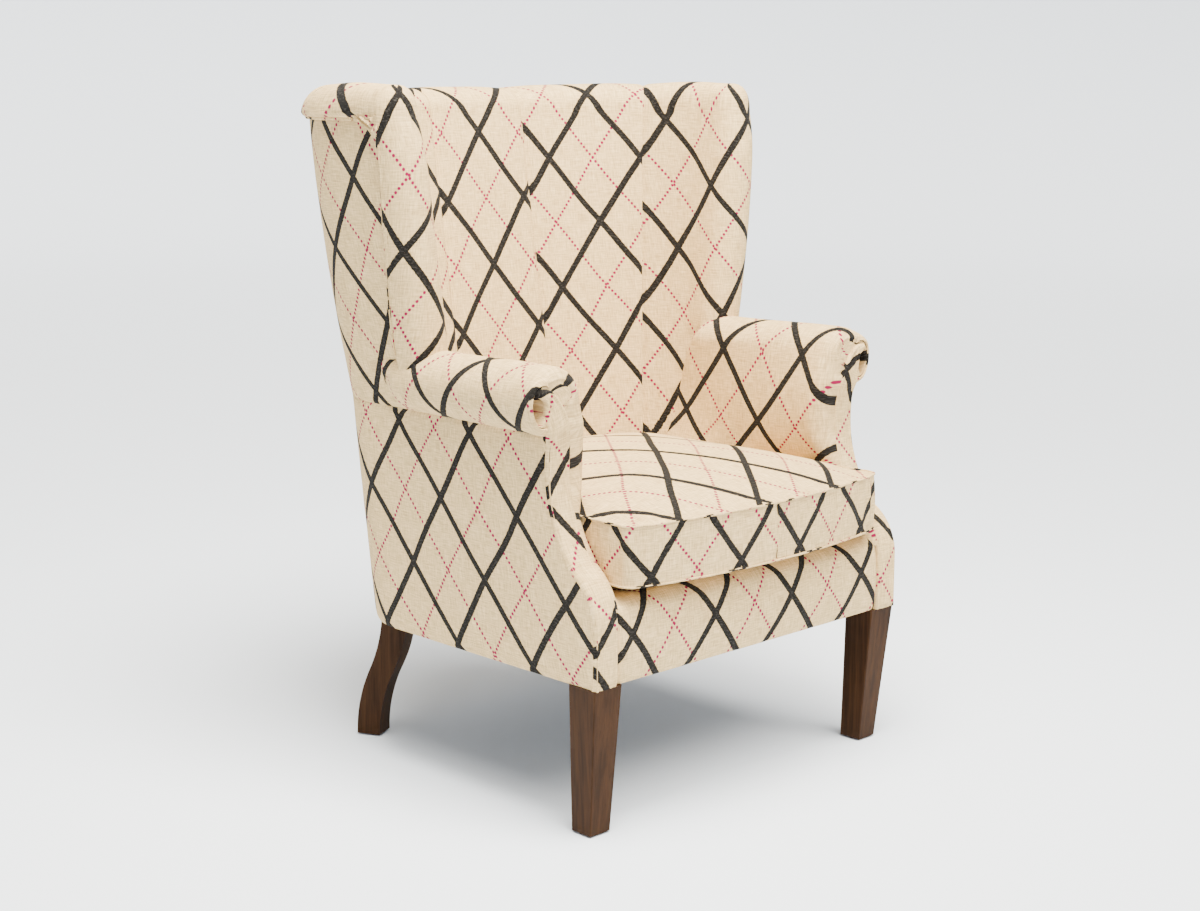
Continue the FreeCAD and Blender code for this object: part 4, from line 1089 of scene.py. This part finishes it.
def cushionBorder():
    total = edgeMarks[-1]
    height = cushion["seamHigh"] - cushion["seamLow"]
    heart = Vector(cushion["heart"])

    def place(u, v):
        s = u * total
        flat = edgeAt(s)
        outward = (flat - heart).normalized()
        low, high = v * height, (1 - v) * height
        ridge = seamRidge(s)
        bulge = 5.0 * math.sin(math.pi * v) ** 0.7
        reach = ridge * 0.7 * (near(low, 3.4) + near(high, 3.4)) + bulge + puckers(s, min(low, high)) * 0.8
        z = mix(cushion["seamLow"], cushion["seamHigh"], v) + ridge * (near(high, 3.4) - 0.5 * near(low, 3.4))
        return Vector((flat.x, flat.y, z)) + Vector((outward.x, outward.y, 0)) * reach

    def cloth(u, v):
        return (u * total + 120, v * 90 + 650)

    return layCloth("cushion_border", 4 * cushion["columns"], 20, place, cloth, 0.0, 0.75)


def swell(piece):  # air pressure from inside fills the cover; its seams are a little shorter than the panels
    mesh = piece.data
    start = [vertex.co.copy() for vertex in mesh.vertices]
    held = piece.vertex_groups.new(name="held")
    sewn = piece.vertex_groups.new(name="sewn")
    for vertex in mesh.vertices:
        z = vertex.co.z * 1000
        if z < cushion["bottom"] + 4:
            held.add([vertex.index], 1.0, "REPLACE")
        if min(abs(z - cushion["seamHigh"] - 2), abs(z - cushion["seamLow"] + 1)) < 3:
            sewn.add([vertex.index], 1.0, "REPLACE")
            held.add([vertex.index], 0.8, "REPLACE")
    cloth = piece.modifiers.new("cloth", "CLOTH")
    settings = cloth.settings
    settings.quality, settings.mass, settings.air_damping = 5, 0.35, 2.0
    settings.tension_stiffness, settings.compression_stiffness, settings.shear_stiffness = 18.0, 12.0, 6.0
    settings.bending_stiffness = 0.35
    settings.use_pressure, settings.uniform_pressure_force = True, cushion["pressure"]
    settings.vertex_group_mass = "held"
    settings.vertex_group_shrink, settings.shrink_min, settings.shrink_max = "sewn", 0.0, cushion["shrink"]
    settings.effector_weights.gravity = 0
    cloth.collision_settings.use_collision = False
    scene = bpy.context.scene
    cloth.point_cache.frame_start, cloth.point_cache.frame_end = 1, cushion["frames"]
    for frameNumber in range(1, cushion["frames"] + 1):
        scene.frame_set(frameNumber)
    swollen = piece.evaluated_get(bpy.context.evaluated_depsgraph_get()).data
    ends = [vertex.co.copy() for vertex in swollen.vertices]
    piece.modifiers.remove(cloth)
    scene.frame_set(1)
    moved = 0.0
    for vertex, a, b in zip(mesh.vertices, start, ends):
        move = b - a
        limit = cushion["cap"] / 1000
        if move.length > limit:
            move *= limit / move.length
        moved = max(moved, move.length)
        vertex.co = a + move
    piece.vertex_groups.clear()
    mesh.update()
    print("cushion swelled by up to", round(moved * 1000, 1), "mm")


def seatZip(piece):  # the border is drawn in behind the zip tape, which its stitching holds flat
    middle = (cushion["seamLow"] + cushion["seamHigh"]) / 2
    for vertex in piece.data.vertices:
        x, y, z = vertex.co * 1000
        reach = math.hypot(x, y - cushion["zipHeart"])
        turn = abs(math.degrees(math.atan2(x, y - cushion["zipHeart"])))
        if y < 0 or reach <= cushion["zipBed"]:
            continue
        share = 1 - smooth((abs(z - middle) - cushion["zipHigh"]) / 14)
        share *= 1 - smooth((turn - cushion["zipTurn"]) / 3)
        drawn = mix(reach, cushion["zipBed"], share) / reach
        vertex.co.x = x * drawn / 1000
        vertex.co.y = (cushion["zipHeart"] + (y - cushion["zipHeart"]) * drawn) / 1000
    piece.data.update()


print("stage: cushion")
top, bottom, border = cushionFace(True), cushionFace(False), cushionBorder()
bpy.ops.object.select_all(action="DESELECT")
bottom.select_set(True)
bpy.context.view_layer.objects.active = bottom
editAll(lambda: bpy.ops.mesh.flip_normals())
seat = sewTogether("seat_cushion_cover", [top, bottom, border], 0.0009)
finder = kdtree.KDTree(len(seat.data.vertices))
for vertex in seat.data.vertices:
    finder.insert(vertex.co, vertex.index)
finder.balance()


def seamVertices(high):  # the cover's own points along one of its sewn edges, in order
    found = []
    for step in range(221):
        s = edgeMarks[-1] * ((step / 220 + 0.5) % 1.0)
        flat = edgeAt(s)
        outward = (flat - Vector(cushion["heart"])).normalized() * seamRidge(s) * 0.7
        z = cushion["seamHigh"] + seamRidge(s) if high else cushion["seamLow"] - 0.5 * seamRidge(s)
        index = finder.find(Vector((flat.x + outward.x, flat.y + outward.y, z)) / 1000)[1]
        if not found or found[-1] != index:
            found.append(index)
    return found


seams = {"cushion_seam_upper": seamVertices(True), "cushion_seam_lower": seamVertices(False)}
swell(seat)
seatZip(seat)
for name, indices in seams.items():
    line = []
    for index in indices:
        point = seat.data.vertices[index].co * 1000
        outward = Vector((point.x, point.y - cushion["heart"][1], 0)).normalized()
        line.append(point + outward * 0.8)
    cord = weltCord(name, line, cushion["cord"], 120 + edgeMarks[-1] / 2, 738 if name.endswith("upper") else 645)
    finishCover(cord, printedLinen, [], body="seat_cushion", thickness=0, fill=None)
finishCover(seat, printedLinen, ["seat_cushion"], body="seat_cushion", thickness=0, fill=0.8)


print("stage: studio")
studio = {
    "floor": (0.80, 0.865, 0.965, 1), "floorPale": (0.82, 0.885, 0.985, 1), "floorRadius": 9.0, "turnUp": 3.0,
    "warm": (1.0, 0.945, 0.84), "sunPower": 7.5, "sunSpread": 0.9, "sky": (0.97, 0.915, 0.82, 1), "skyPower": 0.75,
    "lens": 59.06, "eye": (-2.19907, -2.30570, 1.08847), "aim": (0.0290, 0.0050, 0.4719),
}


def makeFloor():  # a pale floor that turns up softly, far out on every side
    bpy.ops.object.select_all(action="DESELECT")
    bpy.ops.mesh.primitive_circle_add(vertices=96, radius=studio["floorRadius"], fill_type="TRIFAN")
    floor = bpy.context.object
    floor.name = "studio_floor"
    bpy.ops.object.mode_set(mode="EDIT")
    bpy.ops.mesh.select_all(action="DESELECT")
    bpy.ops.object.mode_set(mode="OBJECT")
    for vertex in floor.data.vertices:
        vertex.select = vertex.co.length > 1
    for edge in floor.data.edges:
        edge.select = all(floor.data.vertices[v].co.length > 1 for v in edge.vertices)
    bpy.ops.object.mode_set(mode="EDIT")
    bpy.ops.mesh.select_mode(type="EDGE")
    radius = studio["floorRadius"]
    for step in range(1, 13):
        turn = math.pi / 2 * step / 12
        reach = radius + studio["turnUp"] * math.sin(turn)
        before = radius + studio["turnUp"] * math.sin(turn - math.pi / 24)
        rise = studio["turnUp"] * (math.cos(turn - math.pi / 24) - math.cos(turn))
        bpy.ops.mesh.extrude_region_move(TRANSFORM_OT_translate={"value": (0, 0, rise)})
        bpy.ops.transform.resize(value=(reach / before, reach / before, 1), center_override=(0, 0, 0))
    bpy.ops.object.mode_set(mode="OBJECT")
    bpy.ops.object.shade_smooth()
    shader = Shader("studio_floor", Roughness=0.95, Specular_IOR_Level=0.1)
    soft = shader.grain(shader.place(), 0.6, 1.0)
    shader.feed("Base Color", shader.blend(soft * 0.3, studio["floor"], studio["floorPale"]))
    floor.data.materials.append(shader.material)


def areaLight(name, place, aim, size, power):
    light = bpy.data.lights.new(name, "AREA")
    light.shape, light.size, light.energy, light.color = "DISK", size, power, studio["warm"]
    lamp = bpy.data.objects.new(name, light)
    bpy.context.collection.objects.link(lamp)
    lamp.location = place
    lamp.rotation_euler = (Vector(aim) - Vector(place)).to_track_quat("-Z", "Y").to_euler()


makeFloor()
areaLight("key_light", (0.6, -3.6, 3.2), (0, 0, 0.6), 2.4, 40)
areaLight("top_light", (-0.4, -0.5, 2.5), (0.05, 0.0, 0.5), 1.2, 150)
overhead = bpy.data.objects.new("overhead_light", bpy.data.lights.new("overhead_light", "SUN"))
bpy.context.collection.objects.link(overhead)
overhead.data.energy, overhead.data.angle = studio["sunPower"], studio["sunSpread"]
overhead.data.color = studio["warm"]
overhead.rotation_euler = Vector((0.05, 0.42, -0.9)).to_track_quat("-Z", "Y").to_euler()
world = bpy.data.worlds.new("studio_world")
bpy.context.scene.world = world
world.use_nodes = True
sky = world.node_tree.nodes["Background"].inputs
sky[0].default_value, sky[1].default_value = studio["sky"], studio["skyPower"]
camera = bpy.data.objects.new("camera", bpy.data.cameras.new("camera"))
bpy.context.collection.objects.link(camera)
camera.data.lens, camera.data.sensor_width = studio["lens"], 36
camera.data.clip_end = 60
camera.location = studio["eye"]
camera.rotation_euler = (Vector(studio["aim"]) - Vector(studio["eye"])).to_track_quat("-Z", "Y").to_euler()
bpy.context.scene.camera = camera
